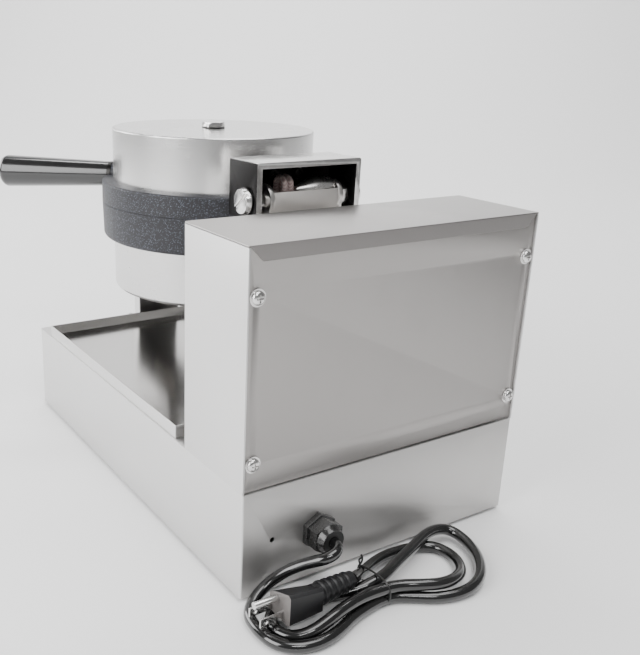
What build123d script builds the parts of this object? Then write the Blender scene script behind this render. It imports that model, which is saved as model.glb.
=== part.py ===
"""Waffle cone maker: a sheet-steel base and rear tower, a round hinged baking
head, a slide-out crumb tray, dial controls and a mains lead.

Millimetres. X runs across the machine (+X is the user's right), +Y points to
the rear, +Z is up. The origin is the centre of the footprint, on the surface
that the feet stand on.
"""
from build123d import *
import math
import os

# ---------------------------------------------------------------- dimensions
# Housing
WIDTH = 250.0
LENGTH = 384.0
BASE_HEIGHT = 78.0
FOOT_HEIGHT = 3.0
TOWER_DEPTH = 80.0
TOWER_HEIGHT = 164.0
SHEET = 1.2
SHEET_GAP = 0.2
BEND = 2.0
FLANGE = 14.0
LID_LIP = 10.5

# Baking head
HEAD_FROM_FRONT = 124.5
HEAD_CLEARANCE = 64.0
LOWER_CASING_HEIGHT = 46.0
LOWER_RIM_HEIGHT = 30.5
UPPER_RIM_HEIGHT = 18.5
UPPER_CASING_HEIGHT = 45.0
CASING_RADIUS = 88.5
CASING_WALL = 1.0
CASING_BEND = 4.0
RIM_RADIUS = 98.5
RIM_WALL = 6.0
RIM_DRAFT = 0.9
PLATE_THICKNESS = 12.0
PLATE_GAP = 0.3
GRID_RADIUS = 88.0
GRID_PITCH = 8.0
GRID_GROOVE = 2.4
GRID_DEPTH = 1.6
BATTER_DEPTH = 1.0

# Hinge
PIVOT_BEHIND_HEAD = 133.5
PIVOT_ABOVE_PARTING = 23.5
PIVOT_RADIUS = 5.0
RUNNING_FIT = 0.05
YOKE_WIDTH = 96.0
YOKE_PLATE = 4.5
YOKE_AHEAD = 25.0
YOKE_BEHIND = 14.0
YOKE_ABOVE = 29.5
YOKE_BELOW = 14.0
BRACKET_WIDTH = 68.0
BRACKET_PLATE = 4.0
BRACKET_ABOVE = 6.5
HEAD_SCREW_RADIUS = 10.5

# Handle
HANDLE_ANGLE = 45.0
HANDLE_LENGTH = 107.5
HANDLE_ROOT_RADIUS = 11.1
HANDLE_END_RADIUS = 14.8
HANDLE_STUD_RADIUS = 4.0
HANDLE_DROOP = 1.7

# Crumb tray
TRAY_WIDTH = 247.0
TRAY_LENGTH = 261.0
TRAY_FROM_FRONT = 27.5
TRAY_HEIGHT = 10.0
TRAY_SHEET = 1.0
TRAY_CLEARANCE = 0.2

# Controls on the front
CONTROL_HEIGHT = 40.0
SWITCH_X = -86.0
LIGHT_X = -46.0
LIGHT_SPACING = 26.0
THERMOSTAT_X = 12.0
TIMER_X = 78.0
KNOB_RADIUS = 20.0
KNOB_HEIGHT = 18.0
SHAFT_RADIUS = 3.0
SWITCH_WIDTH = 21.0
SWITCH_HEIGHT = 29.0

# Mains lead
GLAND_X = 63.0
GLAND_HEIGHT = 38.3
SPARE_HOLE_X = 100.4
SPARE_HOLE_HEIGHT = 41.5
GLAND_THREAD = 10.0
GLAND_FLATS = 22.0
CORD_DIAMETER = 8.2

# ------------------------------------------------------------- worked places
REAR = LENGTH / 2
FRONT = -LENGTH / 2
SIDE = WIDTH / 2
DECK = FOOT_HEIGHT + BASE_HEIGHT
TOWER_FRONT = REAR - TOWER_DEPTH
TOWER_TOP = DECK + TOWER_HEIGHT
HEAD_Y = FRONT + HEAD_FROM_FRONT
HEAD_BOTTOM = DECK + HEAD_CLEARANCE
LOWER_RIM_BOTTOM = HEAD_BOTTOM + LOWER_CASING_HEIGHT
PARTING = LOWER_RIM_BOTTOM + LOWER_RIM_HEIGHT
UPPER_FACE = PARTING + PLATE_GAP
UPPER_RIM_TOP = PARTING + UPPER_RIM_HEIGHT
HEAD_TOP = UPPER_RIM_TOP + UPPER_CASING_HEIGHT
PIVOT_Y = HEAD_Y + PIVOT_BEHIND_HEAD
PIVOT_Z = PARTING + PIVOT_ABOVE_PARTING
YOKE_FRONT = PIVOT_Y - YOKE_AHEAD
YOKE_REAR = PIVOT_Y + YOKE_BEHIND
YOKE_TOP = PIVOT_Z + YOKE_ABOVE
YOKE_BOTTOM = PIVOT_Z - YOKE_BELOW
YOKE_SIDE = YOKE_WIDTH / 2
BRACKET_SIDE = BRACKET_WIDTH / 2
BRACKET_REAR = PIVOT_Y + 10.0
COVER_OUTER = REAR - SHEET - SHEET_GAP
COVER_INNER = COVER_OUTER - SHEET
PANEL_FRONT = FRONT
CONTROL_Z = FOOT_HEIGHT + CONTROL_HEIGHT
COVER_SCREW_X = SIDE - 7.5
COVER_SCREW_Z = (DECK + 20.5, DECK + 131.5)


# ------------------------------------------------------------------- helpers
def block(x0, x1, y0, y1, z0, z1):
    """A box between two corners."""
    centre = Pos((x0 + x1) / 2, (y0 + y1) / 2, (z0 + z1) / 2)
    return centre * Box(abs(x1 - x0), abs(y1 - y0), abs(z1 - z0))


def rod(start, end, radius, end_radius=None):
    """A round bar, or a cone, from one point to another."""
    first, last = Vector(*start), Vector(*end)
    plane = Plane(origin=first, z_dir=last - first)
    length = (last - first).length
    bottom = (Align.CENTER, Align.CENTER, Align.MIN)
    if end_radius is None:
        return plane * Cylinder(radius, length, align=bottom)
    return plane * Cone(radius, end_radius, length, align=bottom)


def hexagon(start, end, across_flats, turn=0.0):
    """A hexagonal bar from one point to another."""
    first, last = Vector(*start), Vector(*end)
    plane = Plane(origin=first, z_dir=last - first)
    outline = plane * Rot(0, 0, turn) * RegularPolygon(across_flats / 2, 6, major_radius=False)
    return extrude(outline, amount=(last - first).length)


def head_disc(radius, bottom, top, top_radius=None):
    """A disc on the baking head's axis."""
    return rod((0, HEAD_Y, bottom), (0, HEAD_Y, top), radius, top_radius)


def on_circle(radius, angle, height):
    """A point round the head; angle 0 is the front, 90 is the user's right."""
    turn = math.radians(angle)
    return (radius * math.sin(turn), HEAD_Y - radius * math.cos(turn), height)


def pan_screw(seat, way, shank_radius, head_radius, head_height, length):
    """A cross-recess pan-head screw: its seat, and the way its head points."""
    seat, way = Vector(*seat), Vector(*way)
    head = rod(seat, seat + way * head_height, head_radius, head_radius * 0.82)
    shank = rod(seat, seat - way * length, shank_radius)
    plane = Plane(origin=seat + way * head_height, z_dir=way)
    depth = head_height * 1.2
    slot = Box(head_radius * 1.1, head_radius * 0.24, depth)
    recess = plane * (slot + Rot(0, 0, 90) * slot)
    return (head + shank) - recess


def group(pieces):
    """Like pieces that share one node."""
    return Compound(children=[piece.solid() for piece in pieces])


# ------------------------------------------------------------------- housing
def base_shell():
    shell = block(-SIDE, SIDE, FRONT, REAR, FOOT_HEIGHT, DECK)
    shell = fillet(shell.edges().filter_by(Axis.Z), BEND)
    hollow = block(-SIDE + SHEET, SIDE - SHEET, FRONT + SHEET, REAR - SHEET, 0, DECK - SHEET)
    ledge = block(-SIDE + SHEET, SIDE - SHEET, FRONT + SHEET, REAR - SHEET,
                  FOOT_HEIGHT + SHEET + SHEET_GAP, FOOT_HEIGHT + 2 * SHEET + SHEET_GAP)
    mouth = block(-SIDE + FLANGE, SIDE - FLANGE, FRONT + FLANGE, REAR - FLANGE, 0, DECK / 2)
    shell = shell - hollow + (ledge - mouth)
    for x, y in bottom_screw_places():
        shell -= rod((x, y, 0), (x, y, FLANGE), 2.0)
    # Front: openings for the controls
    for x in (THERMOSTAT_X, TIMER_X):
        shell -= rod((x, FRONT - 1, CONTROL_Z), (x, FRONT + 5, CONTROL_Z), SHAFT_RADIUS + 1.5)
    for x in light_places():
        shell -= rod((x, FRONT - 1, CONTROL_Z), (x, FRONT + 5, CONTROL_Z), 5.0)
    shell -= switch_window(FRONT - 1, FRONT + 5)
    # Rear: gland hole and a spare earthing-screw hole
    shell -= rod((GLAND_X, REAR - 5, GLAND_Z), (GLAND_X, REAR + 1, GLAND_Z), GLAND_THREAD)
    shell -= rod((SPARE_HOLE_X, REAR - 5, SPARE_HOLE_HEIGHT),
                 (SPARE_HOLE_X, REAR + 1, SPARE_HOLE_HEIGHT), 2.0)
    # Deck: wires up into the tower and into the head's front support
    shell -= block(-20, 20, TOWER_FRONT + 25, TOWER_FRONT + 50, DECK - 5, DECK + 1)
    shell -= rod((0, SUPPORT_Y, DECK - 5), (0, SUPPORT_Y, DECK + 1), WIRE_HOLE)
    for x in SUPPORT_SCREW_X:
        shell -= rod((x, SUPPORT_Y, DECK - 5), (x, SUPPORT_Y, DECK + 1), 2.0)
    for x, y in tower_screw_places():
        shell -= rod((x, y, DECK - 5), (x, y, DECK + 1), 2.0)
    return shell


def bottom_screw_places():
    inset = FLANGE / 2
    return [(side * (SIDE - inset), y) for side in (-1, 1)
            for y in (FRONT + 30, 0, REAR - 30)]


def bottom_plate():
    edge = SHEET + 0.3
    plate = block(-SIDE + edge, SIDE - edge, FRONT + edge, REAR - edge,
                  FOOT_HEIGHT, FOOT_HEIGHT + SHEET)
    for x in range(-60, 61, 15):
        for y in (-80, 40):
            plate -= block(x - 2.5, x + 2.5, y - 25, y + 25, 0, 10)
    for x, y in bottom_screw_places():
        plate -= rod((x, y, 0), (x, y, 10), 2.0)
    for x, y in foot_places():
        plate -= rod((x, y, 0), (x, y, 10), FOOT_NECK)
    return plate


def sheet_screw(seat, way):
    return pan_screw(seat, way, 2.0, 3.6, 2.2, 6.5)


FOOT_RADIUS = 11.0
FOOT_NECK = 4.0


def foot_places():
    inset = 28.0
    return [(x, y) for x in (-SIDE + inset, SIDE - inset)
            for y in (FRONT + inset, REAR - inset)]


def feet():
    """Push-in rubber feet: a pad, a neck through the plate and a barb above it."""
    pads = []
    for x, y in foot_places():
        top = FOOT_HEIGHT + SHEET
        pad = rod((x, y, 0), (x, y, FOOT_HEIGHT), FOOT_RADIUS - 1.0, FOOT_RADIUS)
        neck = rod((x, y, FOOT_HEIGHT), (x, y, top), FOOT_NECK)
        barb = rod((x, y, top), (x, y, top + 5.0), FOOT_NECK + 1.2, FOOT_NECK - 1.0)
        pads.append(pad + neck + barb)
    return group(pads)


def tower_screw_places():
    inset = FLANGE / 2 + SHEET
    across = [(x, TOWER_FRONT + inset) for x in (-60, 60)]
    along = [(side * (SIDE - inset), REAR - TOWER_DEPTH / 2) for side in (-1, 1)]
    return across + along


def tower_shell():
    """Front wall and two side walls, with flanges for the deck and the rear cover."""
    top = TOWER_TOP - SHEET - SHEET_GAP
    outer = block(-SIDE, SIDE, TOWER_FRONT, REAR, DECK, top)
    front_bends = outer.edges().filter_by(Axis.Z).group_by(Axis.Y)[0]
    outer = fillet(front_bends, BEND)
    hollow = block(-SIDE + SHEET, SIDE - SHEET, TOWER_FRONT + SHEET, REAR + 1, DECK - 1, top + 1)
    shell = outer - hollow
    foot = block(-SIDE + SHEET, SIDE - SHEET, TOWER_FRONT + SHEET, COVER_INNER, DECK, DECK + SHEET)
    foot -= block(-SIDE + FLANGE + SHEET, SIDE - FLANGE - SHEET,
                  TOWER_FRONT + FLANGE + SHEET, REAR, DECK - 1, DECK + 5)
    shell += foot
    for side in (-1, 1):
        shell += block(side * (SIDE - SHEET), side * (SIDE - SHEET - FLANGE),
                       COVER_INNER - SHEET, COVER_INNER, DECK, top)
        for z in COVER_SCREW_Z:
            x = side * COVER_SCREW_X
            shell -= rod((x, COVER_INNER - 5, z), (x, COVER_INNER + 1, z), COVER_SCREW_RADIUS)
    for x, y in tower_screw_places():
        shell -= rod((x, y, DECK - 1), (x, y, DECK + 5), 2.0)
    for x, z in bracket_bolt_places():
        shell -= rod((x, TOWER_FRONT - 1, z), (x, TOWER_FRONT + 5, z), BRACKET_BOLT)
    shell -= rod((LOOM_X, TOWER_FRONT - 1, SLEEVE_EXIT_Z), (LOOM_X, TOWER_FRONT + 5, SLEEVE_EXIT_Z),
                 SLEEVE_RADIUS)
    return shell


def tower_lid():
    """Top plate with a mitred lip over the rear cover and short inner flanges."""
    under = TOWER_TOP - SHEET
    lid = block(-SIDE, SIDE, TOWER_FRONT, REAR, under, TOWER_TOP)
    lid = fillet(lid.edges().filter_by(Axis.Z).group_by(Axis.Y)[0], BEND)
    low = TOWER_TOP - LID_LIP
    inside = SIDE - SHEET - SHEET_GAP
    outline = Polyline((-inside, under), (inside, under), (inside - LID_LIP + SHEET, low),
                       (-inside + LID_LIP - SHEET, low), close=True)
    lip = extrude(Plane.XZ.offset(-REAR) * make_face(outline), amount=SHEET)
    lid += lip
    inner = SIDE - SHEET - SHEET_GAP
    for side in (-1, 1):
        lid += block(side * inner, side * (inner - SHEET), TOWER_FRONT + FLANGE,
                     COVER_INNER - FLANGE, under - 8, under)
    ahead = TOWER_FRONT + SHEET + SHEET_GAP
    lid += block(-SIDE + FLANGE, SIDE - FLANGE, ahead, ahead + SHEET, under - 8, under)
    return lid


COVER_SCREW_RADIUS = 2.5
COVER_WASHER_RADIUS = 5.75
COVER_WASHER = 1.0


def rear_cover():
    edge = SIDE - SHEET - 0.3
    cover = block(-edge, edge, COVER_INNER, COVER_OUTER, DECK + 1.0,
                  TOWER_TOP - SHEET - SHEET_GAP - 0.5)
    for x in (-COVER_SCREW_X, COVER_SCREW_X):
        for z in COVER_SCREW_Z:
            cover -= rod((x, COVER_INNER - 1, z), (x, REAR, z), COVER_SCREW_RADIUS)
    return cover


def cover_fixings():
    screws, washers, nuts = [], [], []
    for x in (-COVER_SCREW_X, COVER_SCREW_X):
        for z in COVER_SCREW_Z:
            face = COVER_OUTER + COVER_WASHER
            ring = rod((x, COVER_OUTER, z), (x, face, z), COVER_WASHER_RADIUS)
            ring -= rod((x, COVER_OUTER - 1, z), (x, face + 1, z), COVER_SCREW_RADIUS)
            washers.append(ring)
            screws.append(pan_screw((x, face, z), (0, 1, 0), COVER_SCREW_RADIUS, 4.6, 3.0, 12.0))
            flange = COVER_INNER - SHEET
            nut = block(x - 4.5, x + 4.5, flange - 3.5, flange, z - 4.5, z + 4.5)
            nuts.append(nut - rod((x, flange - 9, z), (x, flange + 1, z), COVER_SCREW_RADIUS))
    return group(screws), group(washers), group(nuts)


# -------------------------------------------------- supports below the head
SUPPORT_WIDTH = 46.0
SUPPORT_DEPTH = 13.5
SUPPORT_SHEET = 1.5
SUPPORT_Y = FRONT + 1.5 + SUPPORT_DEPTH / 2
SUPPORT_REACH = 78.0
SUPPORT_ARM_DEPTH = 12.0
LEAD_Y = HEAD_Y - 78.0
SUPPORT_SCREW_X = (-SUPPORT_WIDTH / 2 - 7.0, SUPPORT_WIDTH / 2 + 7.0)
SUPPORT_BOLT_Y = (HEAD_Y - 70.0, HEAD_Y - 50.0)
WIRE_HOLE = 4.0
LEAD_SLEEVE = 3.2


def front_support():
    """A hollow sheet post at the front edge, with an arm back under the casing."""
    front, rear = SUPPORT_Y - SUPPORT_DEPTH / 2, SUPPORT_Y + SUPPORT_DEPTH / 2
    side = SUPPORT_WIDTH / 2
    post = block(-side, side, front, rear, DECK, HEAD_BOTTOM)
    post = fillet(post.edges().filter_by(Axis.Z), BEND)
    post -= block(-side + SUPPORT_SHEET, side - SUPPORT_SHEET, front + SUPPORT_SHEET,
                  rear - SUPPORT_SHEET, DECK + SUPPORT_SHEET, HEAD_BOTTOM - SUPPORT_SHEET)
    ears = block(-side - 14.0, side + 14.0, front, rear, DECK, DECK + SUPPORT_SHEET)
    arm = block(-side, side, rear - SUPPORT_SHEET, front + SUPPORT_REACH,
                HEAD_BOTTOM - SUPPORT_ARM_DEPTH, HEAD_BOTTOM)
    arm -= block(-side + SUPPORT_SHEET, side - SUPPORT_SHEET, rear - 5.0,
                 front + SUPPORT_REACH + 1, 0, HEAD_BOTTOM - SUPPORT_SHEET)
    support = post + ears + arm
    support -= rod((0, SUPPORT_Y, DECK - 1), (0, SUPPORT_Y, DECK + 5), WIRE_HOLE)
    support -= block(-WIRE_HOLE, WIRE_HOLE, rear - 4.0, rear + 1.0, HEAD_BOTTOM - 14.0,
                     HEAD_BOTTOM - 2.0)
    support -= rod((0, LEAD_Y, HEAD_BOTTOM - 5), (0, LEAD_Y, HEAD_BOTTOM + 1), WIRE_HOLE)
    for x in SUPPORT_SCREW_X:
        support -= rod((x, SUPPORT_Y, DECK - 1), (x, SUPPORT_Y, DECK + 5), 2.0)
    for x in (-12.0, 12.0):
        for y in SUPPORT_BOLT_Y:
            support -= rod((x, y, HEAD_BOTTOM - 5), (x, y, HEAD_BOTTOM + 1), 2.0)
    return support


def sheet_screws():
    """Every M4 screw that joins sheet to sheet: base, tower and front support."""
    up, down = (0, 0, 1), (0, 0, -1)
    screws = [sheet_screw((x, y, FOOT_HEIGHT), down) for x, y in bottom_screw_places()]
    screws += [sheet_screw((x, y, DECK + SHEET), up) for x, y in tower_screw_places()]
    screws += [sheet_screw((x, SUPPORT_Y, DECK + SUPPORT_SHEET), up) for x in SUPPORT_SCREW_X]
    screws += [sheet_screw((x, y, HEAD_BOTTOM - SUPPORT_SHEET), down)
               for x in (-12.0, 12.0) for y in SUPPORT_BOLT_Y]
    return group(screws)


BRACKET_BOLT = 3.0
BRACKET_FLANGE_TOP = PIVOT_Z - 31.0
BRACKET_FLANGE_BOTTOM = PIVOT_Z - 73.0
BRACKET_FRONT = YOKE_FRONT - 2.8
LUG_BOTTOM = LOWER_RIM_BOTTOM + 4.0
LUG_TOP = PARTING - 4.5
SLEEVE_EXIT_Z = PIVOT_Z - 52.0
SLEEVE_RADIUS = 5.4
LOOM_X = 9.5
LOOM_Y = BRACKET_REAR - BRACKET_PLATE - 8.5
LOOM_Z = PIVOT_Z - 18.0


def bracket_bolt_places():
    middle = (BRACKET_FLANGE_TOP + BRACKET_FLANGE_BOTTOM) / 2
    return [(x, middle + z) for x in (-44.0, 44.0) for z in (-12.0, 12.0)]


def lug_bolt_places():
    middle = (LUG_BOTTOM + LUG_TOP) / 2
    return [(x, middle) for x in (-20.0, 0.0, 20.0)]


def hinge_bracket():
    """Two cheeks, a rear web and a tower flange; it carries the pivots."""
    cheek = Polyline((BRACKET_FRONT, LUG_BOTTOM), (TOWER_FRONT, BRACKET_FLANGE_BOTTOM),
                     (TOWER_FRONT, BRACKET_FLANGE_TOP), (BRACKET_REAR, BRACKET_FLANGE_TOP),
                     (BRACKET_REAR, PIVOT_Z), (PIVOT_Y - 12.0, PIVOT_Z),
                     (BRACKET_FRONT, LUG_TOP), close=True)
    profile = make_face(cheek) + Pos(PIVOT_Y, PIVOT_Z) * Circle(12.0)
    bracket = None
    for side in (-1, 1):
        start = side * BRACKET_SIDE
        plate = extrude(Plane.YZ.offset(start) * profile, amount=-side * BRACKET_PLATE)
        bracket = plate if bracket is None else bracket + plate
    inner = BRACKET_SIDE - BRACKET_PLATE / 2
    bracket += block(-inner, inner, BRACKET_REAR - BRACKET_PLATE, BRACKET_REAR,
                     BRACKET_FLANGE_TOP - 6.0, PIVOT_Z + BRACKET_ABOVE)
    bracket += block(-inner, inner, BRACKET_FRONT, BRACKET_FRONT + BRACKET_PLATE,
                     LUG_BOTTOM, LUG_TOP)
    flange = block(-BRACKET_SIDE - 20.0, BRACKET_SIDE + 20.0, TOWER_FRONT - BRACKET_PLATE,
                   TOWER_FRONT, BRACKET_FLANGE_BOTTOM, BRACKET_FLANGE_TOP)
    flange -= rod((LOOM_X, TOWER_FRONT - 9, SLEEVE_EXIT_Z),
                  (LOOM_X, TOWER_FRONT + 1, SLEEVE_EXIT_Z), SLEEVE_RADIUS + 1.5)
    bracket += flange
    for x, z in bracket_bolt_places():
        bracket -= rod((x, TOWER_FRONT - 9, z), (x, TOWER_FRONT + 1, z), BRACKET_BOLT)
    for x, z in lug_bolt_places():
        bracket -= rod((x, BRACKET_FRONT - 1, z), (x, BRACKET_FRONT + 9, z), BRACKET_BOLT)
    bracket -= rod((-BRACKET_SIDE - 1, PIVOT_Y, PIVOT_Z), (BRACKET_SIDE + 1, PIVOT_Y, PIVOT_Z),
                   PIVOT_RADIUS)
    return bracket


def hinge_bracket_bolts():
    bolts = []
    for x, z in bracket_bolt_places():
        face = TOWER_FRONT - BRACKET_PLATE
        head = hexagon((x, face - 4.0, z), (x, face, z), 10.0)
        bolts.append(head + rod((x, face, z), (x, TOWER_FRONT + 8.0, z), BRACKET_BOLT))
    for x, z in lug_bolt_places():
        face = BRACKET_FRONT + BRACKET_PLATE
        head = hexagon((x, face, z), (x, face + 4.0, z), 10.0)
        bolts.append(head + rod((x, face, z), (x, BRACKET_FRONT - 10.0, z), BRACKET_BOLT))
    return group(bolts)


# --------------------------------------------------------- lower baking head
STUD_RADIUS = 4.0


def lower_casing():
    top = LOWER_RIM_BOTTOM + 4.0
    cup = head_disc(CASING_RADIUS, HEAD_BOTTOM, top)
    cup = fillet(cup.edges().group_by(Axis.Z)[0], CASING_BEND)
    hollow = head_disc(CASING_RADIUS - CASING_WALL, HEAD_BOTTOM + CASING_WALL, top + 1)
    cup -= fillet(hollow.edges().group_by(Axis.Z)[0], CASING_BEND - CASING_WALL)
    cup -= rod((0, HEAD_Y, HEAD_BOTTOM - 1), (0, HEAD_Y, HEAD_BOTTOM + 5), STUD_RADIUS)
    cup -= rod((0, LEAD_Y, HEAD_BOTTOM - 1), (0, LEAD_Y, HEAD_BOTTOM + 5), WIRE_HOLE)
    for x in (-12.0, 12.0):
        for y in SUPPORT_BOLT_Y:
            cup -= rod((x, y, HEAD_BOTTOM - 1), (x, y, HEAD_BOTTOM + 5), 2.0)
    return cup


def waffle_grooves(height, depth):
    """Two crossing sets of grooves, clipped to the baking circle."""
    count = int((GRID_RADIUS - 3.0) / GRID_PITCH)
    bars = []
    for step in range(-count, count + 1):
        offset = step * GRID_PITCH
        reach = math.sqrt(GRID_RADIUS ** 2 - offset ** 2) - 1.0
        for along in (0, 90):
            bar = Box(2 * reach, GRID_GROOVE, 2 * depth)
            bars.append(Pos(0, HEAD_Y, height) * Rot(0, 0, along + 45) * Pos(0, offset, 0) * bar)
    return bars


def lower_plate():
    """Cast iron plate: baking face, skirt outside the casing, rear lug."""
    rim_bottom = RIM_RADIUS - RIM_DRAFT
    plate = head_disc(rim_bottom, LOWER_RIM_BOTTOM, PARTING, RIM_RADIUS)
    plate = fillet(plate.edges().group_by(Axis.Z)[0], 4.0)
    plate -= head_disc(RIM_RADIUS - RIM_WALL, LOWER_RIM_BOTTOM - 1, PARTING - PLATE_THICKNESS)
    plate += head_disc(12.0, PARTING - PLATE_THICKNESS - 8.0, PARTING - PLATE_THICKNESS)
    lug = block(-30.0, 30.0, HEAD_Y + RIM_RADIUS - 12.0, BRACKET_FRONT, LUG_BOTTOM, LUG_TOP)
    lug -= head_disc(RIM_RADIUS - RIM_WALL, LUG_BOTTOM - 1, LUG_TOP + 1)
    plate += lug
    plate -= head_disc(GRID_RADIUS + 2.0, PARTING - BATTER_DEPTH, PARTING + 1)
    plate -= waffle_grooves(PARTING - BATTER_DEPTH, GRID_DEPTH)
    plate -= rod((0, HEAD_Y, PARTING - PLATE_THICKNESS - 9.0),
                 (0, HEAD_Y, PARTING - PLATE_THICKNESS), STUD_RADIUS)
    for x, z in lug_bolt_places():
        plate -= rod((x, BRACKET_FRONT + 1, z), (x, BRACKET_FRONT - 10.0, z), BRACKET_BOLT)
    return plate


def heater_ring(height):
    ring = Pos(0, HEAD_Y, height) * Torus(58.0, 4.0)
    tails = rod(on_circle(58.0, -6, height), on_circle(76.0, -6, height), 3.0)
    tails += rod(on_circle(58.0, 6, height), on_circle(76.0, 6, height), 3.0)
    return ring + tails


def lower_stud():
    foot = PARTING - PLATE_THICKNESS
    return rod((0, HEAD_Y, HEAD_BOTTOM - 9.0), (0, HEAD_Y, foot), STUD_RADIUS)


def lower_nut():
    nut = hexagon((0, HEAD_Y, HEAD_BOTTOM - 7.0), (0, HEAD_Y, HEAD_BOTTOM), 13.0)
    return nut - rod((0, HEAD_Y, HEAD_BOTTOM - 9), (0, HEAD_Y, HEAD_BOTTOM + 1), STUD_RADIUS)


def insulation(bottom, top):
    wool = head_disc(80.0, bottom, top)
    return wool - head_disc(STUD_RADIUS + 2.0, bottom - 1, top + 1)


def thermostat_sensor():
    """A capillary bulb clipped to the underside of the lower plate."""
    height = PARTING - PLATE_THICKNESS - 3.0
    return rod((30, HEAD_Y - 35, height), (30, HEAD_Y + 35, height), 3.0)


def lower_head_leads():
    """Heat-proof sleeve from the base, up the front support, to the lower heater."""
    path = FilletPolyline((0, SUPPORT_Y, DECK - 20.0), (0, SUPPORT_Y, HEAD_BOTTOM - 7.0),
                          (0, LEAD_Y, HEAD_BOTTOM - 7.0), (0, LEAD_Y, HEAD_BOTTOM + 8.0),
                          radius=5.0)
    return sweep(Plane(origin=path @ 0, z_dir=path % 0) * Circle(LEAD_SLEEVE), path=path)


# --------------------------------------------------------- upper baking head
STUD_TOP = HEAD_TOP + 4.6
PAD_HALF = 22.0
PAD_GAP = 2.5
PAD_TOP = YOKE_TOP - 8.5
YOKE_BOLT = 3.0
YOKE_BOLTS = ((-12.0, PIVOT_Z + 15.0), (12.0, PIVOT_Z + 15.0), (0.0, PIVOT_Z - 6.5))
HANDLE_Z = UPPER_RIM_TOP - 0.5
HANDLE_STUD_START = CASING_RADIUS - 2.5
HANDLE_BOSS = CASING_RADIUS + 5.8
HANDLE_SEAT_GAP = 0.8


def on_handle(radius):
    """A point on the handle's line, which droops a little towards its end."""
    drop = (radius - HANDLE_BOSS) * math.tan(math.radians(HANDLE_DROOP))
    return on_circle(radius, HANDLE_ANGLE, HANDLE_Z - drop)


def upper_plate():
    """Cast iron plate: baking face, rim with a ledge, hinge pad, handle boss."""
    plate = head_disc(RIM_RADIUS, UPPER_FACE, UPPER_RIM_TOP)
    plate = fillet(plate.edges().group_by(Axis.Z)[-1], 2.0)
    plate -= head_disc(CASING_RADIUS - 4.0, UPPER_FACE + PLATE_THICKNESS, UPPER_RIM_TOP + 1)
    plate += head_disc(12.0, UPPER_FACE + PLATE_THICKNESS, UPPER_FACE + PLATE_THICKNESS + 8.0)
    ahead = HEAD_Y + CASING_RADIUS + PAD_GAP - 1.0
    pad = block(-PAD_HALF, PAD_HALF, ahead, YOKE_FRONT, UPPER_FACE + 2.0, PAD_TOP)
    plate += pad
    plate += rod(on_handle(CASING_RADIUS + 2.5), on_handle(HANDLE_BOSS), HANDLE_ROOT_RADIUS - 0.8)
    plate -= rod(on_handle(HANDLE_BOSS), on_handle(RIM_RADIUS + 10.0),
                 HANDLE_ROOT_RADIUS + HANDLE_SEAT_GAP)
    plate -= head_disc(GRID_RADIUS + 2.0, UPPER_FACE - 1, UPPER_FACE + BATTER_DEPTH)
    plate -= waffle_grooves(UPPER_FACE + BATTER_DEPTH, GRID_DEPTH)
    plate -= rod((0, HEAD_Y, UPPER_FACE + PLATE_THICKNESS),
                 (0, HEAD_Y, UPPER_FACE + PLATE_THICKNESS + 9.0), STUD_RADIUS)
    plate -= rod(on_handle(HANDLE_STUD_START), on_handle(HANDLE_BOSS + 1), HANDLE_STUD_RADIUS)
    for x, z in YOKE_BOLTS:
        plate -= rod((x, YOKE_FRONT + 1, z), (x, YOKE_FRONT - 14.0, z), YOKE_BOLT)
    return plate


def upper_casing():
    cup = head_disc(CASING_RADIUS, UPPER_RIM_TOP, HEAD_TOP)
    cup = fillet(cup.edges().group_by(Axis.Z)[-1], 1.5)
    cup -= head_disc(CASING_RADIUS - CASING_WALL, UPPER_RIM_TOP - 1, HEAD_TOP - CASING_WALL)
    cup -= rod((0, HEAD_Y, HEAD_TOP - 5), (0, HEAD_Y, HEAD_TOP + 1), STUD_RADIUS)
    # Notch over the handle stud
    return cup - rod(on_handle(CASING_RADIUS - 6), on_handle(CASING_RADIUS + 6),
                     HANDLE_STUD_RADIUS + 0.5)


def upper_stud():
    return rod((0, HEAD_Y, UPPER_FACE + PLATE_THICKNESS), (0, HEAD_Y, STUD_TOP), STUD_RADIUS)


TOP_WASHER = 0.8
TOP_NUT_FLATS = 17.6
TOP_NUT_HEIGHT = 4.4
TOP_NUT_CROWN = 1.0


def top_washer():
    ring = head_disc(TOP_NUT_FLATS / 2 + 1.4, HEAD_TOP, HEAD_TOP + TOP_WASHER)
    return ring - head_disc(STUD_RADIUS, HEAD_TOP - 1, HEAD_TOP + 5)


def top_nut():
    """A low hexagonal cap nut with a blind hole."""
    seat = HEAD_TOP + TOP_WASHER
    crown = seat + TOP_NUT_HEIGHT
    nut = hexagon((0, HEAD_Y, seat), (0, HEAD_Y, crown), TOP_NUT_FLATS, 30.0)
    nut &= head_disc(TOP_NUT_FLATS / 2 + 1.0, seat, crown)
    nut += head_disc(TOP_NUT_FLATS / 2 - 0.6, crown, crown + TOP_NUT_CROWN,
                     TOP_NUT_FLATS / 2 - 2.8)
    return nut - rod((0, HEAD_Y, seat - 1), (0, HEAD_Y, STUD_TOP), STUD_RADIUS)


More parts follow.
